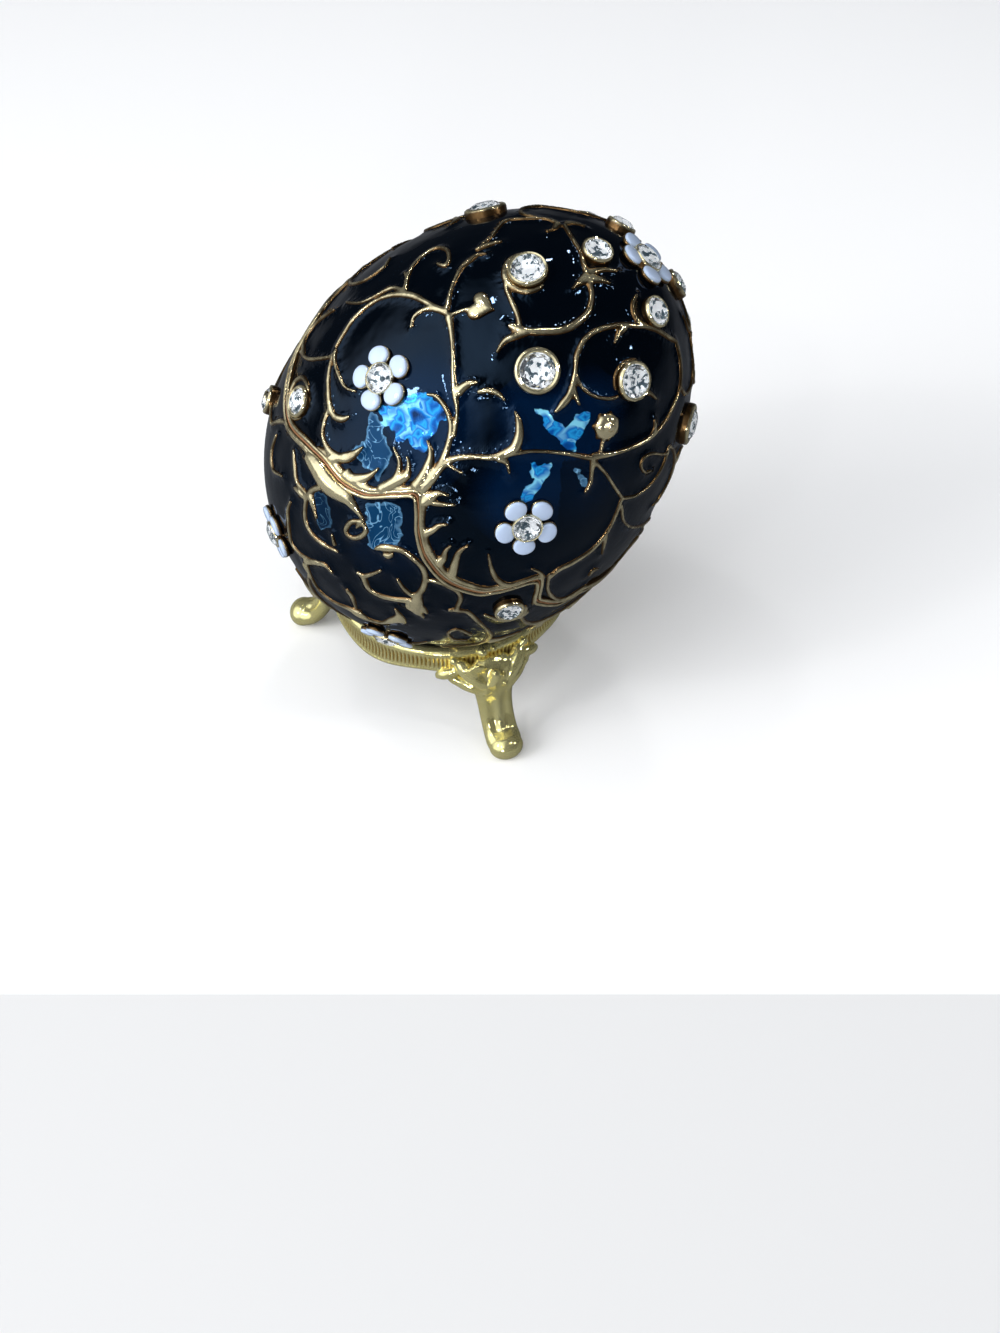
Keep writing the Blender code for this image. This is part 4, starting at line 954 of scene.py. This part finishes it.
def melt(thing, grain):
    """Melt overlapping solids into one casting with soft inner corners."""
    choose(thing)
    remesh = thing.modifiers.new("melt", "REMESH")
    remesh.mode = "VOXEL"
    remesh.voxel_size = grain
    soften = thing.modifiers.new("soften", "SMOOTH")
    soften.factor = MELT_SOFTNESS
    soften.iterations = MELT_ROUNDS
    for name in ("melt", "soften"):
        bpy.ops.object.modifier_apply(modifier=name)
    thing.data.shade_smooth()


def mark_rise(thing, full):
    """Relief of a melted piece from how far it stands over the egg's skin, which the gilt turns into its
    painted crest highlight.
    """
    count = len(thing.data.vertices)
    spots = numpy.empty(count * 3)
    thing.data.vertices.foreach_get("co", spots)
    back = numpy.array(POSE.inverted())
    spots = spots.reshape(count, 3) @ back[:3, :3].T + back[:3, 3]
    radius = numpy.hypot(spots[:, 0], spots[:, 1])
    wide, tall = EGG_WIDTH / 2, EGG_HEIGHT / 2
    angle = numpy.arctan2(radius / wide, spots[:, 2] / tall)
    skin_radius = wide * numpy.sin(angle) * (1 - EGG_TAPER * numpy.cos(angle)) / PROFILE_PEAK
    slope = numpy.stack((numpy.sin(angle) / wide, numpy.cos(angle) / tall))
    slope /= numpy.linalg.norm(slope, axis=0)
    rise = (radius - skin_radius) * slope[0] + (spots[:, 2] - tall * numpy.cos(angle)) * slope[1]
    attribute = thing.data.attributes.new("relief", "FLOAT", "POINT")
    attribute.data.foreach_set("value", numpy.clip(rise / full, 0, 1))


def make_scrolls(name, runs, extras, material):
    """Gilt vines, leaves and knobs in relief on one half of a shell, melted into one."""
    bm = bmesh.new()
    for run in runs:
        frames = [skin_frame(azimuth, polar) for azimuth, polar, _ in run]
        outwards = [placed.to_3x3().col[2] for placed in frames]
        centres = [placed.translation - out * SCROLL_SINK for placed, out in zip(frames, outwards)]
        widths = [width for _, _, width in run]
        widths[0] *= TIP_SHARE
        widths[-1] *= TIP_SHARE
        rises = [SCROLL_SINK + max(SCROLL_LOWEST, width * SCROLL_FLATNESS) for width in widths]
        add_ridge(bm, centres, outwards, widths, rises, SCROLL_SIDES)
    for azimuth, polar, outline, height in extras:
        add_dome(bm, azimuth, polar, outline, height)
    bmesh.ops.recalc_face_normals(bm, faces=bm.faces[:])
    scrolls = new_piece(name, bm, [material])
    melt(scrolls, SCROLL_MELT)
    mark_rise(scrolls, SCROLL_BRIGHT)
    return scrolls


def lid_extras(turn):
    """Heart leaf and beaded knob of the lid."""
    azimuth, polar, spin, size, rise = HEART
    yield azimuth + turn, polar, heart_outline(size, spin), rise
    azimuth, polar, radius, low, high = KNOB
    yield azimuth + turn, polar, round_outline(radius), low
    yield azimuth + turn, polar, round_outline(radius * KNOB_CAP), high
    for i in range(KNOB_BEADS):
        bead = round_outline(KNOB_BEAD, radius, 2 * math.pi * i / KNOB_BEADS)
        yield azimuth + turn, polar, bead, KNOB_BEAD_RISE


def make_rim(name, shift, width, rise, material):
    """Rolled edge along the seam, a short way above it or below."""
    bm = bmesh.new()
    layer = bm.verts.layers.float.new("relief")
    centres, outwards = [], []
    for i in range(SHELL_COLUMNS):
        azimuth = 360 * i / SHELL_COLUMNS
        placed = skin_frame(azimuth, seam_polar(azimuth) - shift * SEAM_DEGREES)
        centres.append(placed.translation)
        outwards.append(placed.to_3x3().col[2])
    widths = [width / 2] * SHELL_COLUMNS
    rises = [rise] * SHELL_COLUMNS
    add_ridge(bm, centres, outwards, widths, rises, SCROLL_SIDES, closed=True, layer=layer)
    bmesh.ops.recalc_face_normals(bm, faces=bm.faces[:])
    return new_piece(name, bm, [material])


def tree_of(spots):
    """Search tree over points, which gives the nearest one's distance and index."""
    tree = kdtree.KDTree(len(spots))
    for index, spot in enumerate(spots):
        tree.insert(spot, index)
    tree.balance()
    return tree


def nearness_to(tree, widths, spot):
    """Distance from a spot to the edge of the nearest line."""
    _, index, distance = tree.find(spot)
    return distance - widths[index]


def flat_patches():
    """Foil patches of both faces: middle, metres to a degree each way, outline and the brightness of the
    painted reflection in it.
    """
    for brightness, outline in FOIL_PATCHES:
        azimuth = sum(spot[0] for spot in outline) / len(outline)
        polar = sum(spot[1] for spot in outline) / len(outline)
        step = beside(0, polar, 1 * MM, 1 * MM)
        scale = (1 * MM / step[0], 1 * MM / (polar - step[1]))
        flat = [Vector(((a - azimuth) * scale[0], (p - polar) * scale[1])) for a, p in outline]
        for turn in (0, PATTERN_REPEAT):
            yield azimuth + turn, polar, scale, flat, brightness


def depth_inside(spot, outline):
    """Distance from a spot to an outline, above zero inside it."""
    inside = False
    nearest = 1.0
    for start, end in zip(outline, outline[1:] + outline[:1]):
        if (start.y > spot.y) != (end.y > spot.y):
            crossing = start.x + (spot.y - start.y) / (end.y - start.y) * (end.x - start.x)
            inside = inside != (spot.x < crossing)
        run = end - start
        share = max(0.0, min(1.0, (spot - start).dot(run) / run.length_squared))
        nearest = min(nearest, (spot - start - run * share).length)
    return nearest if inside else -nearest


def foil_at(azimuth, polar, patches):
    """Depth inside the nearest foil patch, with 0.5 at its edge, and the brightness of its painted
    reflection.
    """
    best, light = -FOIL_REACH, 0.0
    for middle, level, scale, outline, brightness in patches:
        across = ((azimuth - middle + 180) % 360 - 180) * scale[0]
        down = (polar - level) * scale[1]
        if abs(across) > FOIL_REACH or abs(down) > FOIL_REACH:
            continue
        depth = depth_inside(Vector((across, down)), outline)
        if depth > best:
            best, light = depth, brightness
    return 0.5 + best / FOIL_REACH / 2, light


def make_shell(name, side, runs, materials):
    """Hollow shell from its pole to the seam: enamel outside, copper edge, gilt inside."""
    bm = bmesh.new()
    depth_layer = bm.verts.layers.float.new("foil_depth")
    light_layer = bm.verts.layers.float.new("foil_light")
    shore_layer = bm.verts.layers.float.new("shore")
    pole = 0.0 if side > 0 else 180.0
    columns = [360 * i / SHELL_COLUMNS for i in range(SHELL_COLUMNS)]
    edges = [seam_polar(azimuth) - side * SEAM_GAP / 2 * SEAM_DEGREES for azimuth in columns]
    gold = [(skin(azimuth, polar), width) for run in runs for azimuth, polar, width in run]
    shores = tree_of([spot for spot, _ in gold])
    shore_widths = [width for _, width in gold]
    patches = list(flat_patches())

    def corner(azimuth, polar, rise):
        spot = skin(azimuth, polar, rise)
        if rise < 0:
            return bm.verts.new(spot)
        gap = max(0.0, nearness_to(shores, shore_widths, spot))
        climb = math.exp(-gap / MENISCUS_REACH)
        made = bm.verts.new(skin(azimuth, polar, MENISCUS_RISE * climb))
        made[shore_layer] = climb
        made[depth_layer], made[light_layer] = foil_at(azimuth, polar, patches)
        return made

    def ring(share, rise):
        return [corner(a, pole + (edge - pole) * share, rise) for a, edge in zip(columns, edges)]

    rows = [ring(row / SHELL_ROWS, 0.0) for row in range(1, SHELL_ROWS + 1)]
    rows += [ring(row / INNER_ROWS, -EGG_WALL) for row in range(INNER_ROWS, 0, -1)]
    tips = [corner(0, pole, rise) for rise in (0.0, -EGG_WALL)]
    for number, (low, high) in enumerate(zip(rows, rows[1:])):
        slot = ENAMEL_SLOT if number < SHELL_ROWS - 1 else INSIDE_SLOT
        if number == SHELL_ROWS - 1:
            slot = EDGE_SLOT
        bridge(bm, low, high, slot)
    for tip, row, slot in zip(tips, (rows[0], rows[-1]), (ENAMEL_SLOT, INSIDE_SLOT)):
        for i in range(SHELL_COLUMNS):
            face = bm.faces.new((tip, row[i], row[(i + 1) % SHELL_COLUMNS]))
            face.material_index = slot
    bmesh.ops.recalc_face_normals(bm, faces=bm.faces[:])
    return new_piece(name, bm, materials)


def turned(name, outline, steps, materials):
    """Piece spun about Z from pairs of radius and height."""
    bm = bmesh.new()
    spots = [bm.verts.new((radius, 0, height)) for radius, height in outline]
    for low, high in zip(spots, spots[1:]):
        bm.edges.new((low, high))
    if outline[0][0] and outline[-1][0]:
        bm.edges.new((spots[-1], spots[0]))
    thing = new_piece(name, bm, materials)
    choose(thing)
    bpy.ops.object.mode_set(mode="EDIT")
    bpy.ops.mesh.select_all(action="SELECT")
    bpy.ops.mesh.spin(steps=steps, angle=2 * math.pi, center=(0, 0, 0), axis=(0, 0, 1))
    bpy.ops.mesh.select_all(action="SELECT")
    bpy.ops.mesh.remove_doubles(threshold=0.002 * MM)
    bpy.ops.mesh.normals_make_consistent(inside=False)
    bpy.ops.object.mode_set(mode="OBJECT")
    thing.data.shade_smooth()
    thing.data.set_sharp_from_angle(angle=math.radians(40))
    return thing


def copy_to(pattern, name, placed):
    """Copy of a piece with its own mesh, moved to a frame."""
    mesh = pattern.data.copy()
    mesh.transform(placed)
    thing = bpy.data.objects.new(name, mesh)
    bpy.context.scene.collection.objects.link(thing)
    return thing


def drop(thing):
    """Take a pattern out once its copies are made."""
    bpy.data.objects.remove(thing, do_unlink=True)


def mark_relief(thing, low, high):
    """Relief from a piece's own height before it is placed, which the gilt turns into its painted crest
    highlight.
    """
    attribute = thing.data.attributes.new("relief", "FLOAT", "POINT")
    shares = [(corner.co.z - low) / (high - low) for corner in thing.data.vertices]
    attribute.data.foreach_set("value", [max(0.0, min(1.0, share)) for share in shares])


def cup_pattern(diameter, bezel, materials):
    """Bezel: a rolled gold ring with a silvered cone inside."""
    inner = diameter / 2 + CUP_SLACK
    outer = inner + bezel
    top = CUP_RISE
    outline = (
        (outer, -CUP_ROOT), (outer, top * 0.55), (outer - bezel * 0.12, top * 0.9),
        (outer - bezel * 0.5, top * 1.08), (inner + bezel * 0.15, top), (inner, top * 0.75),
        (inner * 0.6, 0.22 * MM), (0.05 * MM, 0.14 * MM), (0.05 * MM, -0.3 * MM),
    )
    thing = turned("cup", outline, CUP_STEPS, materials)
    for face in thing.data.polygons:
        middle = face.center
        if math.hypot(middle.x, middle.y) < inner:
            face.material_index = 1
    mark_relief(thing, 0.0, top)
    return thing


def stone_pattern(diameter, material):
    """Brilliant cut stone: the hull round its table, crown, girdle and back."""
    radius = diameter / 2
    girdle = CUP_RISE
    rings = (
        (8, radius * 0.56, girdle + STONE_CROWN, 0.0),
        (8, radius * 0.80, girdle + STONE_CROWN * 0.62, 22.5),
        (16, radius, girdle + STONE_GIRDLE / 2, 0.0),
        (16, radius, girdle - STONE_GIRDLE / 2, 0.0),
        (8, radius * 0.45, girdle - STONE_DEPTH * 0.62, 22.5),
    )
    bm = bmesh.new()
    for count, reach, height, turn in rings:
        placed = Matrix.Translation((0, 0, height)) @ Matrix.Rotation(math.radians(turn), 4, "Z")
        bmesh.ops.create_circle(bm, segments=count, radius=reach, matrix=placed)
    bm.verts.new((0, 0, girdle - STONE_DEPTH))
    thing = new_piece("stone", bm, [material])
    choose(thing)
    bpy.ops.object.mode_set(mode="EDIT")
    bpy.ops.mesh.select_all(action="SELECT")
    bpy.ops.mesh.convex_hull()
    bpy.ops.object.mode_set(mode="OBJECT")
    thing.data.shade_flat()
    return thing


def petal_patterns(materials):
    """Rounded enamel petal in a thin gold rim, both stretched along Y."""
    clear_choice()
    bpy.ops.mesh.primitive_uv_sphere_add(segments=PETAL_STEPS, ring_count=PETAL_STEPS // 2, radius=1)
    pad = bpy.context.object
    for corner in pad.data.vertices:
        corner.co.z = math.copysign(abs(corner.co.z) ** PETAL_FULLNESS, corner.co.z)
        corner.co = corner.co * PETAL_SIZE + Vector((0, 0, PETAL_LIFT))
    pad.data.materials.append(materials[0])
    pad.data.shade_smooth()
    clear_choice()
    bpy.ops.mesh.primitive_torus_add(
        major_segments=PETAL_STEPS, minor_segments=8, major_radius=1, minor_radius=PETAL_RIM,
    )
    rim = bpy.context.object
    stretch = Vector((PETAL_SIZE.x, PETAL_SIZE.y, PETAL_RIM_TALL))
    for corner in rim.data.vertices:
        corner.co = corner.co * stretch + Vector((0, 0, PETAL_RIM_LIFT))
    rim.data.materials.append(materials[1])
    rim.data.shade_smooth()
    mark_relief(rim, -0.1 * MM, 0.4 * MM)
    return pad, rim


def stone_spots():
    """Every stone by name, with its frame on the egg."""
    for name, azimuths, polar, diameter, bezel, shell, turn in STONES:
        for azimuth in azimuths:
            yield name, skin_frame(azimuth, polar), diameter, bezel, shell, turn


def set_stones(materials):
    """Stones, cups and flowers, on both shells."""
    stones, cups, numbers = {}, {}, {}
    pad, rim = petal_patterns((materials["petal"], materials["gilt"]))
    settings = {"lid": [], "base": []}
    pads = {"lid": [], "base": []}
    for name, placed, diameter, bezel, shell, turn in stone_spots():
        if diameter not in stones:
            stones[diameter] = stone_pattern(diameter, materials["crystal"])
        if (diameter, bezel) not in cups:
            linings = (materials["gilt"], materials["foil"])
            cups[diameter, bezel] = cup_pattern(diameter, bezel, linings)
        numbers[name] = numbers.get(name, 0) + 1
        node = f"{name}_{numbers[name]}" if f"{name}_1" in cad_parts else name
        stone = copy_to(stones[diameter], f"{node}_cut", placed)
        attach(stone, shell)
        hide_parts(node)
        settings[shell].append(copy_to(cups[diameter, bezel], f"{node}_cup", placed))
        if turn is None:
            continue
        for i in range(PETALS):
            angle = math.radians(turn) + 2 * math.pi * i / PETALS
            shift = Matrix.Rotation(angle, 4, "Z") @ Matrix.Translation((PETAL_REACH, 0, 0))
            pads[shell].append(copy_to(pad, "petal", placed @ shift))
            settings[shell].append(copy_to(rim, "petal_rim", placed @ shift))
    for shell in ("lid", "base"):
        for kind, things in (("cups", settings[shell]), ("petals", pads[shell])):
            piece = join_as(f"{shell}_{kind}", things)
            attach(piece, shell)
    for pattern in (*stones.values(), *cups.values(), pad, rim):
        drop(pattern)


def make_lug(name, side, materials):
    """Lug with a pocket for a magnet, inside the front of one shell."""
    face, high = SEAM_GAP / 2, SEAM_GAP / 2 + LUG_HEIGHT
    outline = [
        (0, face + LUG_POCKET), (LUG_POCKET, face + LUG_POCKET), (LUG_POCKET, face),
        (LUG_RADIUS, face), (LUG_RADIUS, high), (0, high),
    ]
    lug = turned(name, [(radius, side * height) for radius, height in outline], LUG_STEPS, materials)
    angle = math.radians(seam_polar(0))
    radius = EGG_WIDTH / 2 * profile_shape(angle) / PROFILE_PEAK - LUG_INSET
    middle = around(0, radius, EGG_HEIGHT / 2 * math.cos(angle))
    lug.data.transform(POSE @ Matrix.Translation(middle))
    return lug


def stand_spot(azimuth, radius, height):
    """Point of the stand from millimetres off its middle and over its own foot."""
    return STAND_MIDDLE + around(azimuth, radius * MM, height * MM)


def arc(radius, height, reach, angles):
    """Points round a middle, as radius and height, at angles in degrees."""
    turns = [math.radians(angle) for angle in angles]
    return [(radius + reach * math.cos(turn), height + reach * math.sin(turn)) for turn in turns]


def ring_section(azimuth):
    """Cross-section of the ring: rolled rim, lip under the egg, ribbed band with a rolled edge."""
    low = BAND_LOW - BAND_WAVE * math.cos(math.radians(BAND_WAVES * (azimuth - LEG_AZIMUTHS[0])))
    rib = (0.5 + 0.5 * math.cos(math.radians(azimuth * BAND_RIBS))) ** RIB_FULLNESS
    section = arc(RING_RADIUS, RING_TOP, RING_BEAD, range(10, 221, 21))
    section += [(REST_RADIUS, height) for height in REST_HEIGHTS]
    section += [(BAND_INSIDE, BAND_CEILING), (BAND_INSIDE, low + BAND_INNER_FOOT)]
    section += arc(EDGE_RADIUS, low + EDGE_RISE, EDGE_BEAD, range(-150, 61, 30))
    foot = low + BAND_FOOT
    for step in range(1, BAND_STEPS):
        share = step / BAND_STEPS
        bow = math.sin(math.pi * share)
        flare = BAND_WIDEST - BAND_HOLLOW * bow + RIB_RISE * rib * bow ** 0.5
        section.append((flare, foot + (RING_TOP - foot) * share))
    return [stand_spot(azimuth, radius, height) for radius, height in section]


def add_rings(bm, rings, closed):
    """Skin over rings of points, with flat ends or joined to itself."""
    rings = [[bm.verts.new(spot) for spot in ring] for ring in rings]
    pairs = list(zip(rings, rings[1:]))
    if closed:
        pairs.append((rings[-1], rings[0]))
    for low, high in pairs:
        bridge(bm, low, high)
    if not closed:
        bm.faces.new(rings[0])
        bm.faces.new(rings[-1])


def leg_rings(azimuth):
    """Fluted cabriole leg from the ring to its toe."""
    across = Vector((math.cos(math.radians(azimuth)), math.sin(math.radians(azimuth)), 0))
    run = catmull(LEG_STATIONS, LEG_STEPS)
    spots = [stand_spot(azimuth, radius, height) for radius, height, *_ in run]
    rings = []
    for i, (_, _, width, depth, flute) in enumerate(run):
        along = spots[min(i + 1, len(run) - 1)] - spots[max(i - 1, 0)]
        front = along.normalized().cross(across).normalized()
        ring = []
        for step in range(LEG_SIDES):
            turn = 2 * math.pi * step / LEG_SIDES
            side = math.cos(turn)
            deep = depth * math.sin(turn)
            if math.sin(turn) > 0 and abs(side) < FLUTE_SPAN:
                deep -= flute * (0.5 - 0.5 * math.cos(2 * math.pi * side / FLUTE_SPAN))
            ring.append(spots[i] + (across * side * width + front * deep) * MM)
        rings.append(ring)
    return rings


def add_ball(bm, azimuth, radius, height, size):
    """Ball of the stand, stretched across, along and up by its size."""
    placed = Matrix.Translation(stand_spot(azimuth, radius, height))
    placed @= Matrix.Rotation(math.radians(azimuth), 4, "Z") @ Matrix.Diagonal((*(size * MM), 1))
    bmesh.ops.create_uvsphere(bm, u_segments=24, v_segments=16, radius=1, matrix=placed)


def make_ring(material):
    """Ring and ribbed band, with the grooves between the ribs kept in a layer that the gold paints brown
    as painted shade.
    """
    bm = bmesh.new()
    groove = bm.verts.layers.float.new("groove")
    columns = RIB_COLUMNS * BAND_RIBS
    azimuths = [360 * i / columns for i in range(columns)]
    sections = [ring_section(azimuth) for azimuth in azimuths]
    add_rings(bm, sections, closed=True)
    for place, corner in enumerate(bm.verts):
        column, point = divmod(place, len(sections[0]))
        if point > len(sections[0]) - BAND_STEPS:
            corner[groove] = 0.5 - 0.5 * math.cos(math.radians(azimuths[column] * BAND_RIBS))
    bmesh.ops.recalc_face_normals(bm, faces=bm.faces[:])
    return new_piece("ring", bm, [material])


def knee_lines():
    """Ridge, folds and leaf lobes of a knee: each with the radius it lies at, if it is one."""
    yield KNEE_RIDGE, KNEE_RIDGE_RADIUS
    for first, top, last, bottom in KNEE_FOLDS:
        angles = (first, (first + last) / 2, last)
        heights = (top, (top + bottom) / 2, bottom)
        yield tuple(zip(angles, heights, FOLD_WIDTHS)), FOLD_RADIUS
    for leaf in KNEE_LEAVES:
        for way in (1, -1):
            yield [(way * angle, height, width) for angle, height, width in leaf], None


def leaf_radius(angle):
    """Radius of a leaf lobe, which climbs from the band onto the knee."""
    return LEAF_RADIUS + LEAF_CLIMB * max(0.0, 1 - abs(angle) / LEAF_SPREAD)


def add_knee(bm, leg):
    """Leaves, folds and beads on the knee of a leg."""
    for angle, height, radius, size in KNEE_BEADS:
        add_ball(bm, leg + angle, radius, height, Vector((size, size, size)))
    for line, radius in knee_lines():
        run = catmull(line, KNEE_STEPS)
        outwards = [around(leg + angle, 1, 0) for angle, _, _ in run]
        centres = [
            stand_spot(leg + angle, radius or leaf_radius(angle), height) for angle, height, _ in run
        ]
        widths = [width * MM for _, _, width in run]
        rises = [width * KNEE_FLATNESS for width in widths]
        add_ridge(bm, centres, outwards, widths, rises, KNEE_SIDES)


def make_stand(material):
    """Ring, and the legs with their leaves and beads melted into one casting."""
    bm = bmesh.new()
    for leg in LEG_AZIMUTHS:
        add_rings(bm, leg_rings(leg), closed=False)
        add_ball(bm, leg, TOE_RADIUS, TOE_HEIGHT, TOE)
        add_knee(bm, leg)
    bmesh.ops.recalc_face_normals(bm, faces=bm.faces[:])
    limbs = new_piece("limbs", bm, [material])
    melt(limbs, STAND_MELT)
    for corner in limbs.data.vertices:
        corner.co.z = max(corner.co.z, 0.0)
    return join_as("tripod_cast", [make_ring(material), limbs])


def set_ground():
    """White floor, and a grey strip in front of it."""
    for name, finish, way, shade in GROUNDS:
        clear_choice()
        middle = GROUND_EDGE + way * GROUND_SIZE / 2
        bpy.ops.mesh.primitive_plane_add(size=GROUND_SIZE, location=(0, middle, -GROUND_DROP))
        sheet = bpy.context.object
        sheet.name = name
        sheet.data.materials.append(white_ground(finish, shade))


def set_lamps():
    """Soft square lamps that face the egg."""
    for name, way, size, power in LAMPS:
        lamp = bpy.data.lights.new(name, "AREA")
        lamp.size = size
        lamp.energy = power
        thing = bpy.data.objects.new(name, lamp)
        bpy.context.scene.collection.objects.link(thing)
        thing.location = EGG_MIDDLE + Vector(way)
        thing.rotation_euler = (-Vector(way)).to_track_quat("-Z", "Y").to_euler()
        thing.visible_glossy = name not in UNMIRRORED_LAMPS


def set_room():
    """Dark room that brightens softly towards a window, and that the camera sees pale."""
    world = bpy.data.worlds.new("room")
    bpy.context.scene.world = world
    world.use_nodes = True
    room = Nodes(world.node_tree)
    way = room.node("TexCoord", output="Generated")
    facing = room.node("VectorMath", {"operation": "DOT_PRODUCT"}, {0: way, 1: WINDOW_SIDE}, "Value")
    ramp = {"stops": ROOM_STOPS, "easing": "EASE"}
    brightness = room.node("ValToRGB", ramp, {"Fac": facing}, "Color")
    seen = room.node("LightPath", output="Is Camera Ray")
    background = room.tree.nodes["Background"]
    room.put(background.inputs["Color"], room.mix(seen, brightness, ROOM_SEEN))


def set_camera():
    """Camera above the front, at the photograph's angle."""
    lens = bpy.data.cameras.new("camera")
    lens.lens = CAMERA_LENS
    lens.sensor_width = CAMERA_SENSOR
    lens.sensor_fit = "HORIZONTAL"
    lens.clip_start = CAMERA_NEAREST
    camera = bpy.data.objects.new("camera", lens)
    bpy.context.scene.collection.objects.link(camera)
    camera.location = EGG_MIDDLE + CAMERA_PLACE
    camera.rotation_euler = (math.radians(CAMERA_TILT), 0, 0)
    bpy.context.scene.camera = camera
    bpy.context.scene.view_settings.view_transform = "Standard"


def make_half(shell, side, strokes, materials):
    """Enamel, scrollwork, rim and lug of one shell: side is 1 above the seam and -1 below."""
    halves = {"front": 0, "back": PATTERN_REPEAT}
    runs = {half: scroll_runs(shell, strokes, side, turn) for half, turn in halves.items()}
    skins = [materials["enamel"], materials["inside"], materials["groove"]]
    enamel = make_shell(f"{shell}_enamel", side, runs["front"] + runs["back"], skins)
    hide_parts(f"{shell}_shell")
    gilt = []
    for half, turn in halves.items():
        extras = list(lid_extras(turn)) if shell == "lid" else []
        gilt.append(make_scrolls(f"{shell}_scrolls_{half}", runs[half], extras, materials["gilt"]))
    shift = side * (RIM_SPACE + RIM_WIDTH) / 2
    gilt.append(make_rim(f"{shell}_rim", shift, RIM_WIDTH, RIM_RISE, materials["gilt"]))
    gilt.append(make_lug(f"{shell}_lug", side, [materials["inside"]]))
    for piece in (enamel, *gilt):
        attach(piece, shell)


def main():
    """Every piece, and then the ground, lamps, room and camera."""
    materials = {
        "enamel": navy_enamel(),
        "gilt": antique_gilt(),
        "groove": copper_groove(),
        "inside": inner_gilt(),
        "stand": bright_gold(),
        "petal": petal_enamel(),
        "crystal": clear_crystal(),
        "foil": silver_foil_painted_glow(),
        "steel": polished_steel(),
    }
    make_half("lid", 1, LID_SCROLLS, materials)
    make_half("base", -1, BASE_SCROLLS, materials)
    lip = make_rim("seam_lip", -LIP_SHIFT, LIP_WIDTH, LIP_RISE, materials["groove"])
    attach(lip, "base")
    set_stones(materials)
    stand = make_stand(materials["stand"])
    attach(stand, "stand")
    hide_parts("tripod_stand")
    finishes = {
        "base_hinge_leaf": "inside", "lid_hinge_leaf": "inside",
        "hinge_pin": "steel", "base_magnet": "steel", "lid_magnet": "steel",
    }
    for node, finish in finishes.items():
        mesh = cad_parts[node].data
        mesh.materials.clear()
        mesh.materials.append(materials[finish])
    set_ground()
    set_lamps()
    set_room()
    set_camera()


main()
